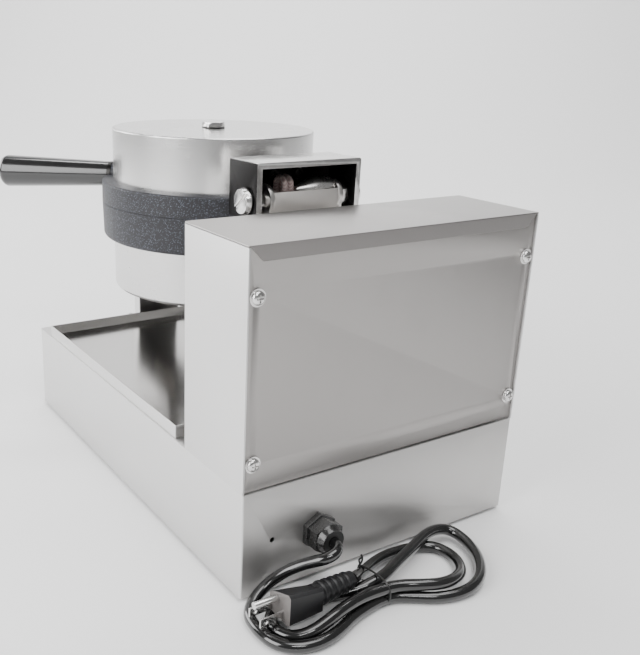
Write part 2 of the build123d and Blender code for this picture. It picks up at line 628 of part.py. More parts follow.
def hinge_yoke():
    """A thick folded channel, open to the rear and below, bolted to the hinge pad."""
    yoke = block(-YOKE_SIDE, YOKE_SIDE, YOKE_FRONT, YOKE_REAR, YOKE_BOTTOM, YOKE_TOP)
    top_bends = yoke.edges().filter_by(Axis.Y).group_by(Axis.Z)[-1]
    yoke = fillet(top_bends, 2.0)
    yoke -= block(-YOKE_SIDE + YOKE_PLATE, YOKE_SIDE - YOKE_PLATE, YOKE_FRONT + YOKE_PLATE,
                  YOKE_REAR + 1, YOKE_BOTTOM - 1, YOKE_TOP - YOKE_PLATE)
    yoke -= rod((-YOKE_SIDE - 1, PIVOT_Y, PIVOT_Z), (YOKE_SIDE + 1, PIVOT_Y, PIVOT_Z),
                PIVOT_RADIUS + RUNNING_FIT)
    for x, z in YOKE_BOLTS:
        yoke -= rod((x, YOKE_FRONT - 1, z), (x, YOKE_FRONT + 9, z), YOKE_BOLT)
    return yoke


def yoke_bolts():
    face = YOKE_FRONT + YOKE_PLATE
    return group([pan_screw((x, face, z), (0, 1, 0), YOKE_BOLT, 5.0, 3.0, 16.0)
                  for x, z in YOKE_BOLTS])


# -------------------------------------------------------------------- pivots
def pivot_screws():
    """Slotted shoulder screws: the yoke turns on them, the bracket holds them."""
    screws = []
    for side in (-1, 1):
        outside = side * (YOKE_SIDE + 0.3)
        collar = rod((outside, PIVOT_Y, PIVOT_Z), (outside + side * 1.2, PIVOT_Y, PIVOT_Z), 8.0)
        seat = outside + side * 1.2
        head = rod((seat, PIVOT_Y, PIVOT_Z), (seat + side * 4.0, PIVOT_Y, PIVOT_Z),
                   HEAD_SCREW_RADIUS, HEAD_SCREW_RADIUS - 1.5)
        shank = rod((side * (BRACKET_SIDE - BRACKET_PLATE), PIVOT_Y, PIVOT_Z),
                    (outside, PIVOT_Y, PIVOT_Z), PIVOT_RADIUS)
        slot = block(seat + side * 2.4, seat + side * 5.0, PIVOT_Y - 12, PIVOT_Y + 12,
                     PIVOT_Z - 1.1, PIVOT_Z + 1.1)
        slot = slot.rotate(Axis((0, PIVOT_Y, PIVOT_Z), (1, 0, 0)), 40)
        screws.append(collar + head + shank - slot)
    return group(screws)


def pivot_jam_nut():
    """Locks the far pivot screw against the bracket."""
    inner, outer = -BRACKET_SIDE, -BRACKET_SIDE - 6.5
    nut = hexagon((inner, PIVOT_Y, PIVOT_Z), (outer, PIVOT_Y, PIVOT_Z), 17.0)
    return nut - rod((inner + 1, PIVOT_Y, PIVOT_Z), (outer - 1, PIVOT_Y, PIVOT_Z), PIVOT_RADIUS)


LEAD_RADIUS = 2.4
LOOP_RADIUS = 5.0
LOOP_TOP = PIVOT_Z + 14.0
FITTING_RADIUS = 9.5
FITTING_BODY = 16.0
FITTING_TAPER = 16.4
FITTING_TIP = 2.5


def hinge_lead_sleeve():
    """Heat-proof sleeve from the tower into the middle of the hinge."""
    path = FilletPolyline((LOOM_X, TOWER_FRONT + 12.0, SLEEVE_EXIT_Z),
                          (LOOM_X, LOOM_Y, SLEEVE_EXIT_Z), (LOOM_X, LOOM_Y, LOOM_Z), radius=9.0)
    return sweep(Plane(origin=path @ 0, z_dir=path % 0) * Circle(SLEEVE_RADIUS), path=path)


def hinge_leads():
    """Two insulated leads that rise from the sleeve and loop forward over the pivot."""
    leads = []
    ahead = LOOM_Y - 2.4 * LOOP_RADIUS
    for side in (-1, 1):
        x = LOOM_X + side * (LEAD_RADIUS + 0.3)
        path = FilletPolyline((x, LOOM_Y, LOOM_Z), (x, LOOM_Y, LOOP_TOP), (x, ahead, LOOP_TOP),
                              (x, ahead, LOOP_TOP - 12.0), radius=LOOP_RADIUS)
        leads.append(sweep(Plane(origin=path @ 0, z_dir=path % 0) * Circle(LEAD_RADIUS), path=path))
    return group(leads)


def lead_fitting():
    """A cast conduit elbow with a long tapered nose, fixed to the bracket's cheek."""
    y, z = BRACKET_REAR - BRACKET_PLATE - FITTING_RADIUS, PIVOT_Z + 5.0
    far = -BRACKET_SIDE + BRACKET_PLATE
    shoulder = far + FITTING_BODY
    nose = rod((shoulder, y, z), (shoulder + FITTING_TAPER, y, z), FITTING_RADIUS, FITTING_TIP)
    return rod((far, y, z), (shoulder, y, z), FITTING_RADIUS) + nose


# -------------------------------------------------------------------- handle
FERRULE = 3.4


def handle_pieces():
    """Stud, ferrule and tapered grip, on one line out from the upper plate."""
    root = HANDLE_BOSS
    grip_start = root + FERRULE
    stud_end = on_handle(grip_start + 40.0)
    stud = rod(on_handle(HANDLE_STUD_START), stud_end, HANDLE_STUD_RADIUS)
    bore = rod(on_handle(root - 1), stud_end, HANDLE_STUD_RADIUS)
    ferrule = rod(on_handle(root), on_handle(grip_start), HANDLE_ROOT_RADIUS) - bore
    grip = rod(on_handle(grip_start), on_handle(grip_start + HANDLE_LENGTH),
               HANDLE_ROOT_RADIUS, HANDLE_END_RADIUS)
    far = grip.edges().filter_by(GeomType.CIRCLE).sort_by(lambda edge: edge.radius)[-1]
    grip = fillet(far, 6.0) - bore
    return stud, ferrule, grip


# ---------------------------------------------------------------------- tray
def crumb_tray():
    front = FRONT + TRAY_FROM_FRONT
    rear = front + TRAY_LENGTH
    low = DECK + TRAY_CLEARANCE
    half = TRAY_WIDTH / 2
    tray = block(-half, half, front, rear, low, low + TRAY_HEIGHT)
    tray -= block(-half + TRAY_SHEET, half - TRAY_SHEET, front + TRAY_SHEET,
                  rear - TRAY_SHEET, low + TRAY_SHEET, low + TRAY_HEIGHT + 1)
    return tray


# ------------------------------------------------------------------ controls
def light_places():
    return (LIGHT_X, LIGHT_X + LIGHT_SPACING)


def switch_window(front, rear):
    half_width, half_height = SWITCH_WIDTH / 2, SWITCH_HEIGHT / 2
    return block(SWITCH_X - half_width, SWITCH_X + half_width, front, rear,
                 CONTROL_Z - half_height, CONTROL_Z + half_height)


def knob(x):
    """A round dial knob with finger flutes and a pointer ridge."""
    back = PANEL_FRONT - 1.2
    front = back - KNOB_HEIGHT
    skirt = rod((x, back, CONTROL_Z), (x, back - 4.0, CONTROL_Z), KNOB_RADIUS)
    body = rod((x, back - 4.0, CONTROL_Z), (x, front, CONTROL_Z), KNOB_RADIUS - 3.0,
               KNOB_RADIUS - 4.5)
    for flute in range(12):
        turn = math.radians(15 + 30 * flute)
        reach = KNOB_RADIUS - 1.0
        fx, fz = x + reach * math.sin(turn), CONTROL_Z + reach * math.cos(turn)
        body -= rod((fx, back - 4.0, fz), (fx, front - 1, fz), 3.2)
    pointer = block(x - 1.0, x + 1.0, front - 1.0, front + 1.0, CONTROL_Z + 2.0,
                    CONTROL_Z + KNOB_RADIUS - 5.5)
    socket = rod((x, back + 1, CONTROL_Z), (x, back - 12.0, CONTROL_Z), SHAFT_RADIUS)
    return skirt + body + pointer - socket


def dial_shaft(x):
    start = PANEL_FRONT - 1.2 - 12.0
    return rod((x, start, CONTROL_Z), (x, FRONT + SHEET + 9.0, CONTROL_Z), SHAFT_RADIUS)


def dial_body(x, width, depth):
    """A dial-operated control: nose, box and a bored hole for its shaft."""
    back = FRONT + SHEET
    half = width / 2
    body = block(x - half, x + half, back, back + depth, CONTROL_Z - half * 0.8, CONTROL_Z + half * 0.8)
    return body - rod((x, back - 1, CONTROL_Z), (x, back + 9.2, CONTROL_Z),
                      SHAFT_RADIUS + RUNNING_FIT)


def switch_body():
    """A snap-in rocker switch housing with its bezel and an open rocker well."""
    half_width, half_height = SWITCH_WIDTH / 2, SWITCH_HEIGHT / 2
    body = block(SWITCH_X - half_width + 0.3, SWITCH_X + half_width - 0.3, PANEL_FRONT,
                 FRONT + 24.0, CONTROL_Z - half_height + 0.3, CONTROL_Z + half_height - 0.3)
    body += block(SWITCH_X - half_width - 2.0, SWITCH_X + half_width + 2.0, PANEL_FRONT - 2.0,
                  PANEL_FRONT, CONTROL_Z - half_height - 2.0, CONTROL_Z + half_height + 2.0)
    return body - block(SWITCH_X - ROCKER_HALF - 0.4, SWITCH_X + ROCKER_HALF + 0.4,
                        PANEL_FRONT - 3.0, PANEL_FRONT + 9.5,
                        CONTROL_Z - ROCKER_REACH - 1.3, CONTROL_Z + ROCKER_REACH + 1.3)


ROCKER_HALF = 7.5
ROCKER_REACH = 11.0
ROCKER_PIVOT_Y = PANEL_FRONT + 2.5
ROCKER_TILT = 9.0


def power_rocker():
    """The rocker, resting with its upper half pressed in (off)."""
    front = PANEL_FRONT - 4.5
    outline = Polyline((front + 1.0, CONTROL_Z + ROCKER_REACH), (front, CONTROL_Z),
                       (front + 1.0, CONTROL_Z - ROCKER_REACH),
                       (ROCKER_PIVOT_Y + 1.5, CONTROL_Z - ROCKER_REACH + 1.0),
                       (ROCKER_PIVOT_Y + 3.5, CONTROL_Z),
                       (ROCKER_PIVOT_Y + 1.5, CONTROL_Z + ROCKER_REACH - 1.0), close=True)
    face = Plane.YZ.offset(SWITCH_X - ROCKER_HALF) * make_face(outline)
    rocker = extrude(face, amount=2 * ROCKER_HALF)
    axis = Axis((SWITCH_X, ROCKER_PIVOT_Y, CONTROL_Z), (1, 0, 0))
    return rocker.rotate(axis, ROCKER_TILT)


def pilot_lights():
    """Snap-in lights: a domed lens in front and a plain body behind the sheet."""
    lights = []
    for x in light_places():
        lens = rod((x, PANEL_FRONT, CONTROL_Z), (x, PANEL_FRONT - 4.0, CONTROL_Z), 6.5, 4.5)
        body = rod((x, PANEL_FRONT, CONTROL_Z), (x, FRONT + 20.0, CONTROL_Z), 5.0)
        lights.append(lens + body)
    return group(lights)


# --------------------------------------------------------------- electrics
def terminal_block():
    back = TOWER_FRONT + SHEET
    low = DECK + 50.0
    strip = block(8.0, 60.0, back, back + 20.0, low, low + 22.0)
    for x in (15.0, 27.5, 40.5, 53.0):
        strip -= rod((x, back + 12.0, low + 11.0), (x, back + 21.0, low + 11.0), 3.0)
    return strip


def wiring_loom():
    """The bundled wires from the base up to the terminal block."""
    y = TOWER_FRONT + 33.0
    path = FilletPolyline((14.0, y, DECK - 30.0), (14.0, y, DECK + 18.0),
                          (34.0, y - 20.0, DECK + 34.0), (34.0, y - 20.0, DECK + 50.0),
                          radius=6.0)
    return sweep(Plane(origin=path @ 0, z_dir=path % 0) * Circle(4.0), path=path)


# --------------------------------------------------------------- mains lead
GLAND_Z = GLAND_HEIGHT
GLAND_NUT = 4.5
GLAND_SPIGOT = GLAND_THREAD - 0.8
GLAND_HEX = 9.5
GLAND_DOME = 5.0
GLAND_END = REAR + GLAND_NUT + GLAND_HEX + GLAND_DOME
CORD_HOLE = CORD_DIAMETER / 2 + 0.2

# Points of the free lead, from the gland to where the tied bundle starts
LEAD_POINTS = [
    (63.0, 211.0, 38.3),
    (63.9, 216.2, 38.2),
    (67.5, 220.1, 37.7),
    (72.6, 221.5, 36.7),
    (77.7, 219.9, 34.8),
    (81.4, 215.5, 32.0),
    (86.8, 208.2, 27.0),
    (94.5, 201.6, 20.8),
    (104.5, 198.0, 14.2),
    (115.0, 199.0, 9.0),
    (124.0, 203.8, 5.6),
    (129.6, 210.8, 4.4),
    (131.4, 218.6, 4.3),
]


def along_gland(start, end, radius):
    return rod((GLAND_X, start, GLAND_Z), (GLAND_X, end, GLAND_Z), radius)


def gland_body():
    """Threaded body: hexagonal flange outside, thread inside, spigot for the dome nut."""
    start = REAR + GLAND_NUT
    body = hexagon((GLAND_X, REAR, GLAND_Z), (GLAND_X, start, GLAND_Z), GLAND_FLATS + 2.0)
    body += along_gland(start, start + GLAND_HEX - 3.0, GLAND_SPIGOT)
    body += along_gland(REAR - SHEET - 8.0, REAR, GLAND_THREAD)
    return body - along_gland(REAR - 20, start + 20, GLAND_THREAD - 2.0)


def gland_locknut():
    inside = REAR - SHEET
    nut = hexagon((GLAND_X, inside - 5.0, GLAND_Z), (GLAND_X, inside, GLAND_Z), GLAND_FLATS + 2.0)
    return nut - along_gland(inside - 9, inside + 1, GLAND_THREAD)


def gland_dome_nut():
    """The outer nut: hexagonal behind, domed and grooved at the mouth."""
    start = REAR + GLAND_NUT
    mouth = start + GLAND_HEX
    nut = hexagon((GLAND_X, start, GLAND_Z), (GLAND_X, mouth, GLAND_Z), GLAND_FLATS)
    dome = rod((GLAND_X, mouth, GLAND_Z), (GLAND_X, GLAND_END, GLAND_Z), GLAND_FLATS / 2 - 0.6,
               GLAND_FLATS / 2 - 2.4)
    for slot in range(10):
        turn = math.radians(36 * slot)
        reach = GLAND_FLATS / 2 + 0.2
        x, z = GLAND_X + reach * math.sin(turn), GLAND_Z + reach * math.cos(turn)
        dome -= rod((x, mouth + 1.5, z), (x, GLAND_END + 1, z), 1.6)
    nut = nut + dome - along_gland(start - 1, GLAND_END + 1, GLAND_THREAD - 2.0)
    return nut - along_gland(start - 1, mouth - 3.0, GLAND_SPIGOT)


def gland_seal():
    """The rubber seal that the dome nut squeezes on to the lead."""
    start = REAR + 2.0
    seal = along_gland(start, GLAND_END, GLAND_THREAD - 2.0)
    return seal - along_gland(start - 1, GLAND_END + 1, CORD_HOLE)


def lead_tube():
    """The free lead: straight runs joined by tangent arcs as large as they allow."""
    points = [Vector(*point) for point in LEAD_POINTS]
    radii = []
    for before, here, after in zip(points, points[1:], points[2:]):
        first, second = here - before, after - here
        turn = math.radians(first.get_angle(second))
        shorter = min(first.length, second.length)
        radii.append(0.45 * shorter / math.tan(turn / 2))
    print("lead radii:", [round(radius, 1) for radius in radii])
    path = FilletPolyline(*LEAD_POINTS, radius=radii)
    section = Plane(origin=path @ 0, z_dir=path % 0) * Circle(CORD_DIAMETER / 2)
    tube = sweep(section, path=path)
    expected = math.pi * (CORD_DIAMETER / 2) ** 2 * path.length
    print("lead length %.1f, volume ratio %.4f" % (path.length, tube.volume / expected))
    return tube


HANK_LAYER = 8.6
TIE_X = 40.0
TIE_FRONT, TIE_REAR = 209.4, 247.6
TIE_WIRE = 1.4


def hank_outline():
    return Polyline((126.9, 219.6), (136.0, 217.6), (137.0, 231.0), (134.5, 242.0),
                    (127.5, 252.0), (115.0, 258.6), (100.0, 259.4), (84.0, 255.6),
                    (69.0, 249.6), (55.0, 246.4), (43.0, 245.2), (34.5, 247.0), (24.5, 253.6),
                    (11.5, 262.3), (-4.5, 267.3), (-22.5, 267.2), (-40.5, 257.8),
                    (-54.8, 240.6), (-61.2, 221.0), (-59.8, 204.2), (-46.0, 197.6),
                    (-28.0, 200.4), (-6.0, 199.2), (13.5, 200.3), (30.0, 206.0),
                    (42.0, 212.6), (52.5, 219.2), (60.0, 221.6), (72.0, 216.8),
                    (89.0, 210.3), (105.5, 207.7), (118.5, 211.8), close=True)


def cord_hank():
    """The tied bundle of the lead: one layer at the plug, two beyond the tie."""
    hank = extrude(make_face(hank_outline()), amount=HANK_LAYER)
    second = extrude(make_face(hank_outline()), amount=2 * HANK_LAYER)
    second &= block(-80.0, BOOT_END, 190.0, 280.0, 0, 40.0)
    hank += second
    groove = block(TIE_X - 1.3, TIE_X + 1.3, TIE_FRONT, TIE_REAR, -1.0, TIE_WIRE + 0.3)
    return hank - (tie_ring() + groove)


def tie_ring():
    ring = block(TIE_X - 1.2, TIE_X + 1.2, TIE_FRONT, TIE_REAR, 0.2, 2 * HANK_LAYER + TIE_WIRE)
    return ring - block(TIE_X - 2, TIE_X + 2, TIE_FRONT + TIE_WIRE, TIE_REAR - TIE_WIRE,
                        0.2 + TIE_WIRE, 2 * HANK_LAYER)


def twist_tie():
    """A wire tie round the bundle, with its twisted ends standing up."""
    top = 2 * HANK_LAYER + TIE_WIRE
    ends = rod((TIE_X, TIE_FRONT + 3.0, top - 0.5), (TIE_X - 6.0, TIE_FRONT - 1.0, top + 5.0), 0.9)
    return tie_ring() + ends


PLUG_FACE = 117.0
PLUG_LENGTH = 27.0
PLUG_WIDTH = 23.0
PLUG_HEIGHT = 22.5
PLUG_SLOPE = 7.0
PLUG_TAPER = 4.5
PLUG_Y = 227.0
PLUG_LOW = HANK_LAYER + 0.1
PIN_Y = PLUG_Y - 3.0
BLADE_SPACING = 12.7
BOOT_LENGTH = 31.0
BOOT_END = PLUG_FACE - PLUG_LENGTH - BOOT_LENGTH
BOOT_ROOT_RADIUS = 7.5
BOOT_END_RADIUS = 5.6
BLADE_LENGTH = 17.0


def plug_section(x, shrink):
    """The plug's outline at one place: flat below, sloping on top."""
    far, near = PLUG_Y - PLUG_WIDTH / 2 + shrink / 3, PLUG_Y + PLUG_WIDTH / 2 - shrink / 3
    top = PLUG_LOW + PLUG_HEIGHT - shrink
    outline = Polyline((far, PLUG_LOW + 1.5), (far + 1.5, PLUG_LOW), (near - 1.5, PLUG_LOW),
                       (near, PLUG_LOW + 1.5), (near, top - 1.5), (near - 2.5, top),
                       (far + 3.0, top - PLUG_SLOPE), (far, top - PLUG_SLOPE - 3.0), close=True)
    return Plane.YZ.offset(x) * make_face(outline)


def plug_body():
    """A moulded three-pin plug with a ribbed strain relief."""
    back = PLUG_FACE - PLUG_LENGTH
    body = loft([plug_section(PLUG_FACE, 0.0), plug_section(back, PLUG_TAPER)])
    boot = rod((back + 2.0, PLUG_Y + 1.5, PLUG_LOW + BOOT_ROOT_RADIUS + 1.2),
               (BOOT_END, PLUG_Y, PLUG_LOW + 9.0), BOOT_ROOT_RADIUS, BOOT_END_RADIUS)
    return body + boot


def plug_pins():
    """Two flat blades low in the face and a round earth pin above them."""
    pins = []
    root, tip = PLUG_FACE - 6.0, PLUG_FACE + BLADE_LENGTH
    low = PLUG_LOW + 1.0
    for y in (PIN_Y - BLADE_SPACING / 2, PIN_Y + BLADE_SPACING / 2):
        blade = block(root, tip, y - 0.75, y + 0.75, low, low + 6.3)
        hole = rod((tip - 4.0, y - 2, low + 3.15), (tip - 4.0, y + 2, low + 3.15), 1.6)
        pins.append(blade - hole)
    earth = PLUG_LOW + 13.6
    pins.append(rod((root, PIN_Y, earth), (tip + 1.0, PIN_Y, earth), 2.4))
    return group(pins)


# --------------------------------------------------------------------- build
def build():
    screws, washers, nuts = cover_fixings()
    stud, ferrule, grip = handle_pieces()
    pins = plug_pins()
    return {
        "base_shell": base_shell(),
        "bottom_plate": bottom_plate(),
        "rubber_feet": feet(),
        "tower_shell": tower_shell(),
        "tower_lid": tower_lid(),
        "rear_cover": rear_cover(),
        "rear_cover_screws": screws,
        "rear_cover_washers": washers,
        "rear_cover_nuts": nuts,
        "front_support": front_support(),
        "sheet_screws": sheet_screws(),
        "hinge_bracket": hinge_bracket(),
        "hinge_bracket_bolts": hinge_bracket_bolts(),
        "lower_casing": lower_casing(),
        "lower_plate": lower_plate(),
        "lower_heater": heater_ring(PARTING - PLATE_THICKNESS - 4.0),
        "lower_insulation": insulation(HEAD_BOTTOM + 10.0, PARTING - PLATE_THICKNESS - 12.0),
        "lower_stud": lower_stud(),
        "lower_nut": lower_nut(),
        "thermostat_sensor": thermostat_sensor(),
        "lower_lead_sleeve": lower_head_leads(),
        "pivot_screws": pivot_screws(),
        "pivot_jam_nut": pivot_jam_nut(),
        "hinge_lead_sleeve": hinge_lead_sleeve(),
        "hinge_leads": hinge_leads(),
        "lead_fitting": lead_fitting(),
        "upper_plate": upper_plate(),
        "upper_casing": upper_casing(),
        "upper_heater": heater_ring(UPPER_FACE + PLATE_THICKNESS + 4.0),
        "upper_insulation": insulation(UPPER_FACE + PLATE_THICKNESS + 12.0, HEAD_TOP - 8.0),
        "upper_stud": upper_stud(),
        "top_washer": top_washer(),
        "top_nut": top_nut(),
        "hinge_yoke": hinge_yoke(),
        "yoke_bolts": yoke_bolts(),
        "handle_stud": stud,
        "handle_ferrule": ferrule,
        "handle_grip": grip,
        "crumb_tray": crumb_tray(),
        "thermostat_knob": knob(THERMOSTAT_X),
        "thermostat_shaft": dial_shaft(THERMOSTAT_X),
        "thermostat_body": dial_body(THERMOSTAT_X, 36.0, 26.0),
        "timer_knob": knob(TIMER_X),
        "timer_shaft": dial_shaft(TIMER_X),
        "timer_body": dial_body(TIMER_X, 52.0, 34.0),
        "switch_body": switch_body(),
        "power_rocker": power_rocker(),
        "pilot_lights": pilot_lights(),
        "terminal_block": terminal_block(),
        "wiring_loom": wiring_loom(),
        "gland_locknut": gland_locknut(),
        "gland_body": gland_body(),
        "gland_dome_nut": gland_dome_nut(),
        "gland_seal": gland_seal(),
        "lead_tube": lead_tube(),
        "cord_hank": cord_hank(),
        "twist_tie": twist_tie(),
        "plug_body": plug_body() - pins,
        "plug_pins": pins,
    }


os.makedirs("parts", exist_ok=True)
for name, piece in build().items():
    export_step(piece, "parts/" + name + ".step")
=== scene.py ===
"""Looks for the waffle cone maker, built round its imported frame."""
import math

import bmesh
import bpy
from mathutils import Matrix, Vector


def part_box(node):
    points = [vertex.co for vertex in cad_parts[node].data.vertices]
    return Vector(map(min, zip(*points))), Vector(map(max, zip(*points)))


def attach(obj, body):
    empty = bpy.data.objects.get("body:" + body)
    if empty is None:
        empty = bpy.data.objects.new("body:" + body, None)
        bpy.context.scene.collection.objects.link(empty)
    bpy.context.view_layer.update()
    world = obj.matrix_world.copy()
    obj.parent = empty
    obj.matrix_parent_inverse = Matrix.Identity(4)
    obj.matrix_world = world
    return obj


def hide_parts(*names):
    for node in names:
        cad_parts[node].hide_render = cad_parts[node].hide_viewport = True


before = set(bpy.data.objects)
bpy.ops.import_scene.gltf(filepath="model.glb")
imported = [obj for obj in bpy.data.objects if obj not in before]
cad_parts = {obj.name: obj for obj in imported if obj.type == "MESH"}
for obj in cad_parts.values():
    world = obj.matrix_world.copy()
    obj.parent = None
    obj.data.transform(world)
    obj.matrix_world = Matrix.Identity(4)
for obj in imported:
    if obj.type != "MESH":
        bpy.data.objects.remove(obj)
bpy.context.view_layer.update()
MM = 0.001
OBJECT_PLACE = 3        # the texture coordinate node's output for a piece's own coordinates
MIX_RESULT_COLOUR = 2   # the mix node's output for colours
MIX_FIRST_COLOUR, MIX_SECOND_COLOUR = 6, 7


# ------------------------------------------------------------------ finishes
class Value:
    """A shader value that works in plain Python sums."""

    def __init__(self, finish, socket):
        self.finish, self.socket = finish, socket

    def _maths(self, operation, first, second=0.0):
        return self.finish.node("ShaderNodeMath", {"operation": operation}, {0: first, 1: second})

    def __add__(self, other):
        return self._maths("ADD", self, other)

    def __mul__(self, other):
        return self._maths("MULTIPLY", self, other)

    def __sub__(self, other):
        return self._maths("SUBTRACT", self, other)

    def __rsub__(self, other):
        return self._maths("SUBTRACT", other, self)

    def __gt__(self, other):
        return self._maths("GREATER_THAN", self, other)

    def __lt__(self, other):
        return self._maths("LESS_THAN", self, other)

    __radd__ = __add__
    __rmul__ = __mul__


class Finish:
    """One material: its shader, and the nodes that feed it."""

    def __init__(self, name, **fixed):
        self.material = bpy.data.materials.new(name)
        self.material.use_nodes = True
        self.tree = self.material.node_tree
        self.shader = self.tree.nodes["Principled BSDF"]
        for key, value in fixed.items():
            self.shader.inputs[key.replace("_", " ")].default_value = value

    def node(self, kind, settings=None, sockets=None, output=0):
        """Adds a node: its settings come first, then its sockets' values or links."""
        made = self.tree.nodes.new(kind)
        for key, value in (settings or {}).items():
            setattr(made, key, value)
        for key, value in (sockets or {}).items():
            if isinstance(value, Value):
                self.tree.links.new(value.socket, made.inputs[key])
            else:
                made.inputs[key].default_value = value
        return Value(self, made.outputs[output])

    def feed(self, socket, value):
        self.tree.links.new(value.socket, self.shader.inputs[socket])

    def place(self, scale=(1, 1, 1), turn=(0, 0, 0)):
        where = self.node("ShaderNodeTexCoord", output=OBJECT_PLACE)
        return self.node("ShaderNodeMapping", {}, {"Vector": where, "Scale": scale,
                                                   "Rotation": turn})

    def noise(self, where, scale, detail=2.0, roughness=0.5):
        return self.node("ShaderNodeTexNoise", {}, {"Vector": where, "Scale": scale,
                                                    "Detail": detail, "Roughness": roughness})

    def spread(self, value, low, high):
        """Turns low into 0 and high into 1, and holds what lies past them."""
        return self.node("ShaderNodeMapRange", {}, {0: value, 1: low, 2: high})

    def blend(self, factor, first, second):
        colours = {MIX_FIRST_COLOUR: first, MIX_SECOND_COLOUR: second}
        for socket, colour in colours.items():
            if not isinstance(colour, Value):
                colours[socket] = (*colour, 1.0)
        return self.node("ShaderNodeMix", {"data_type": "RGBA"}, {0: factor, **colours},
                         MIX_RESULT_COLOUR)

    def bump(self, height, strength, distance):
        bumped = self.node("ShaderNodeBump", {}, {"Height": height, "Strength": strength,
                                                  "Distance": distance})
        self.feed("Normal", bumped)


def brushed_steel(name, colour, roughness, grain=(1.0, 1.0, 60.0), anisotropic=0.0):
    """Sheet steel with a fine drawn grain, faint cloudiness and small handling marks."""
    steel = Finish(name, Metallic=1.0, Anisotropic=anisotropic)
    lines = steel.noise(steel.place(grain), 28.0, detail=3.0, roughness=0.6)
    cloud = steel.noise(steel.place(), 7.0, detail=3.0, roughness=0.55)
    marks = steel.noise(steel.place(turn=(0.4, 0.2, 0.7)), 34.0, detail=4.0)
    smudge = steel.spread(marks, 0.56, 0.72)
    dark = tuple(part * 0.93 for part in colour)
    steel.feed("Base Color", steel.blend(lines * 0.5 + cloud * 0.5, dark, colour))
    steel.feed("Roughness", roughness - 0.05 + lines * 0.07 + cloud * 0.05 + smudge * 0.03)
    steel.bump(lines * 0.7 + cloud * 0.3, 0.05, 0.0002)
    return steel.material


def bright_metal(name, colour, roughness):
    """Plated or machined small hardware, with a fine grain and dull patches."""
    metal = Finish(name, Metallic=1.0)
    fine = metal.noise(metal.place(), 900.0)
    patch = metal.noise(metal.place(), 160.0, detail=3.0)
    dull = tuple(part * 0.8 for part in colour)
    metal.feed("Base Color", metal.blend(metal.spread(patch, 0.35, 0.7), dull, colour))
    metal.feed("Roughness", roughness + patch * 0.10 + fine * 0.05 - 0.05)
    metal.bump(fine, 0.05, 0.0001)
    return metal.material


def coated_iron(name):
    """Cast iron under a charcoal non-stick coat with pale blue-white flecks."""
    iron = Finish(name, Specular_IOR_Level=0.35)
    cells = iron.node("ShaderNodeTexVoronoi", {"feature": "F1"},
                      {"Vector": iron.place(), "Scale": 1150.0, "Randomness": 1.0})
    chance = iron.noise(iron.place(turn=(0.3, 0.9, 0.1)), 700.0)
    fleck = (cells < 0.30) * (chance > 0.50)
    fine = iron.noise(iron.place(), 1500.0)
    cloud = iron.noise(iron.place(), 22.0, detail=3.0)
    ground = iron.blend(cloud, (0.016, 0.016, 0.019), (0.028, 0.028, 0.032))
    iron.feed("Base Color", iron.blend(fleck * (0.15 + fine * 0.6), ground, (0.30, 0.34, 0.44)))
    iron.feed("Roughness", 0.40 + cloud * 0.10 + fine * 0.08)
    iron.bump(fine * 0.5 + cells * 0.3, 0.12, 0.0003)
    return iron.material


def moulded(name, colour, roughness, coat=0.0, texture=0.08, scale=900.0):
    """Moulded plastic or rubber with a faint skin texture and a few dull patches."""
    skin = Finish(name, Coat_Weight=coat, Coat_Roughness=0.06)
    fine = skin.noise(skin.place(), scale)
    patch = skin.noise(skin.place(), 24.0, detail=3.0)
    pale = tuple(min(1.0, part * 1.25 + 0.004) for part in colour)
    skin.feed("Base Color", skin.blend(skin.spread(patch, 0.4, 0.75), colour, pale))
    skin.feed("Roughness", roughness - 0.04 + patch * 0.08 + fine * 0.04)
    skin.bump(fine, texture, 0.0002)
    return skin.material


def mirror_steel(name):
    """Polished tray steel: near a mirror, with hairline wiping marks."""
    steel = Finish(name, Metallic=1.0)
    marks = steel.noise(steel.place((3.0, 60.0, 1.0), (0, 0, 0.5)), 14.0, detail=4.0, roughness=0.7)
    haze = steel.noise(steel.place(), 9.0, detail=3.0)
    steel.feed("Base Color", steel.blend(haze, (0.42, 0.41, 0.40), (0.50, 0.49, 0.48)))
    steel.feed("Roughness", 0.12 + haze * 0.08 + steel.spread(marks, 0.55, 0.8) * 0.06)
    steel.bump(marks, 0.02, 0.0001)
    return steel.material


def woven(name, colour, other):
    """Braided sleeving, or the wool round the heaters."""
    cloth = Finish(name, Sheen_Weight=0.2)
    weave = cloth.node("ShaderNodeTexWave", {"wave_type": "BANDS", "bands_direction": "DIAGONAL"},
                       {"Vector": cloth.place(), "Scale": 260.0, "Distortion": 1.5})
    fuzz = cloth.noise(cloth.place(), 500.0, detail=3.0)
    cloth.feed("Base Color", cloth.blend(weave * 0.7 + fuzz * 0.3, other, colour))
    cloth.feed("Roughness", 0.75 + fuzz * 0.15)
    cloth.bump(weave * 0.6 + fuzz * 0.4, 0.4, 0.0004)
    return cloth.material


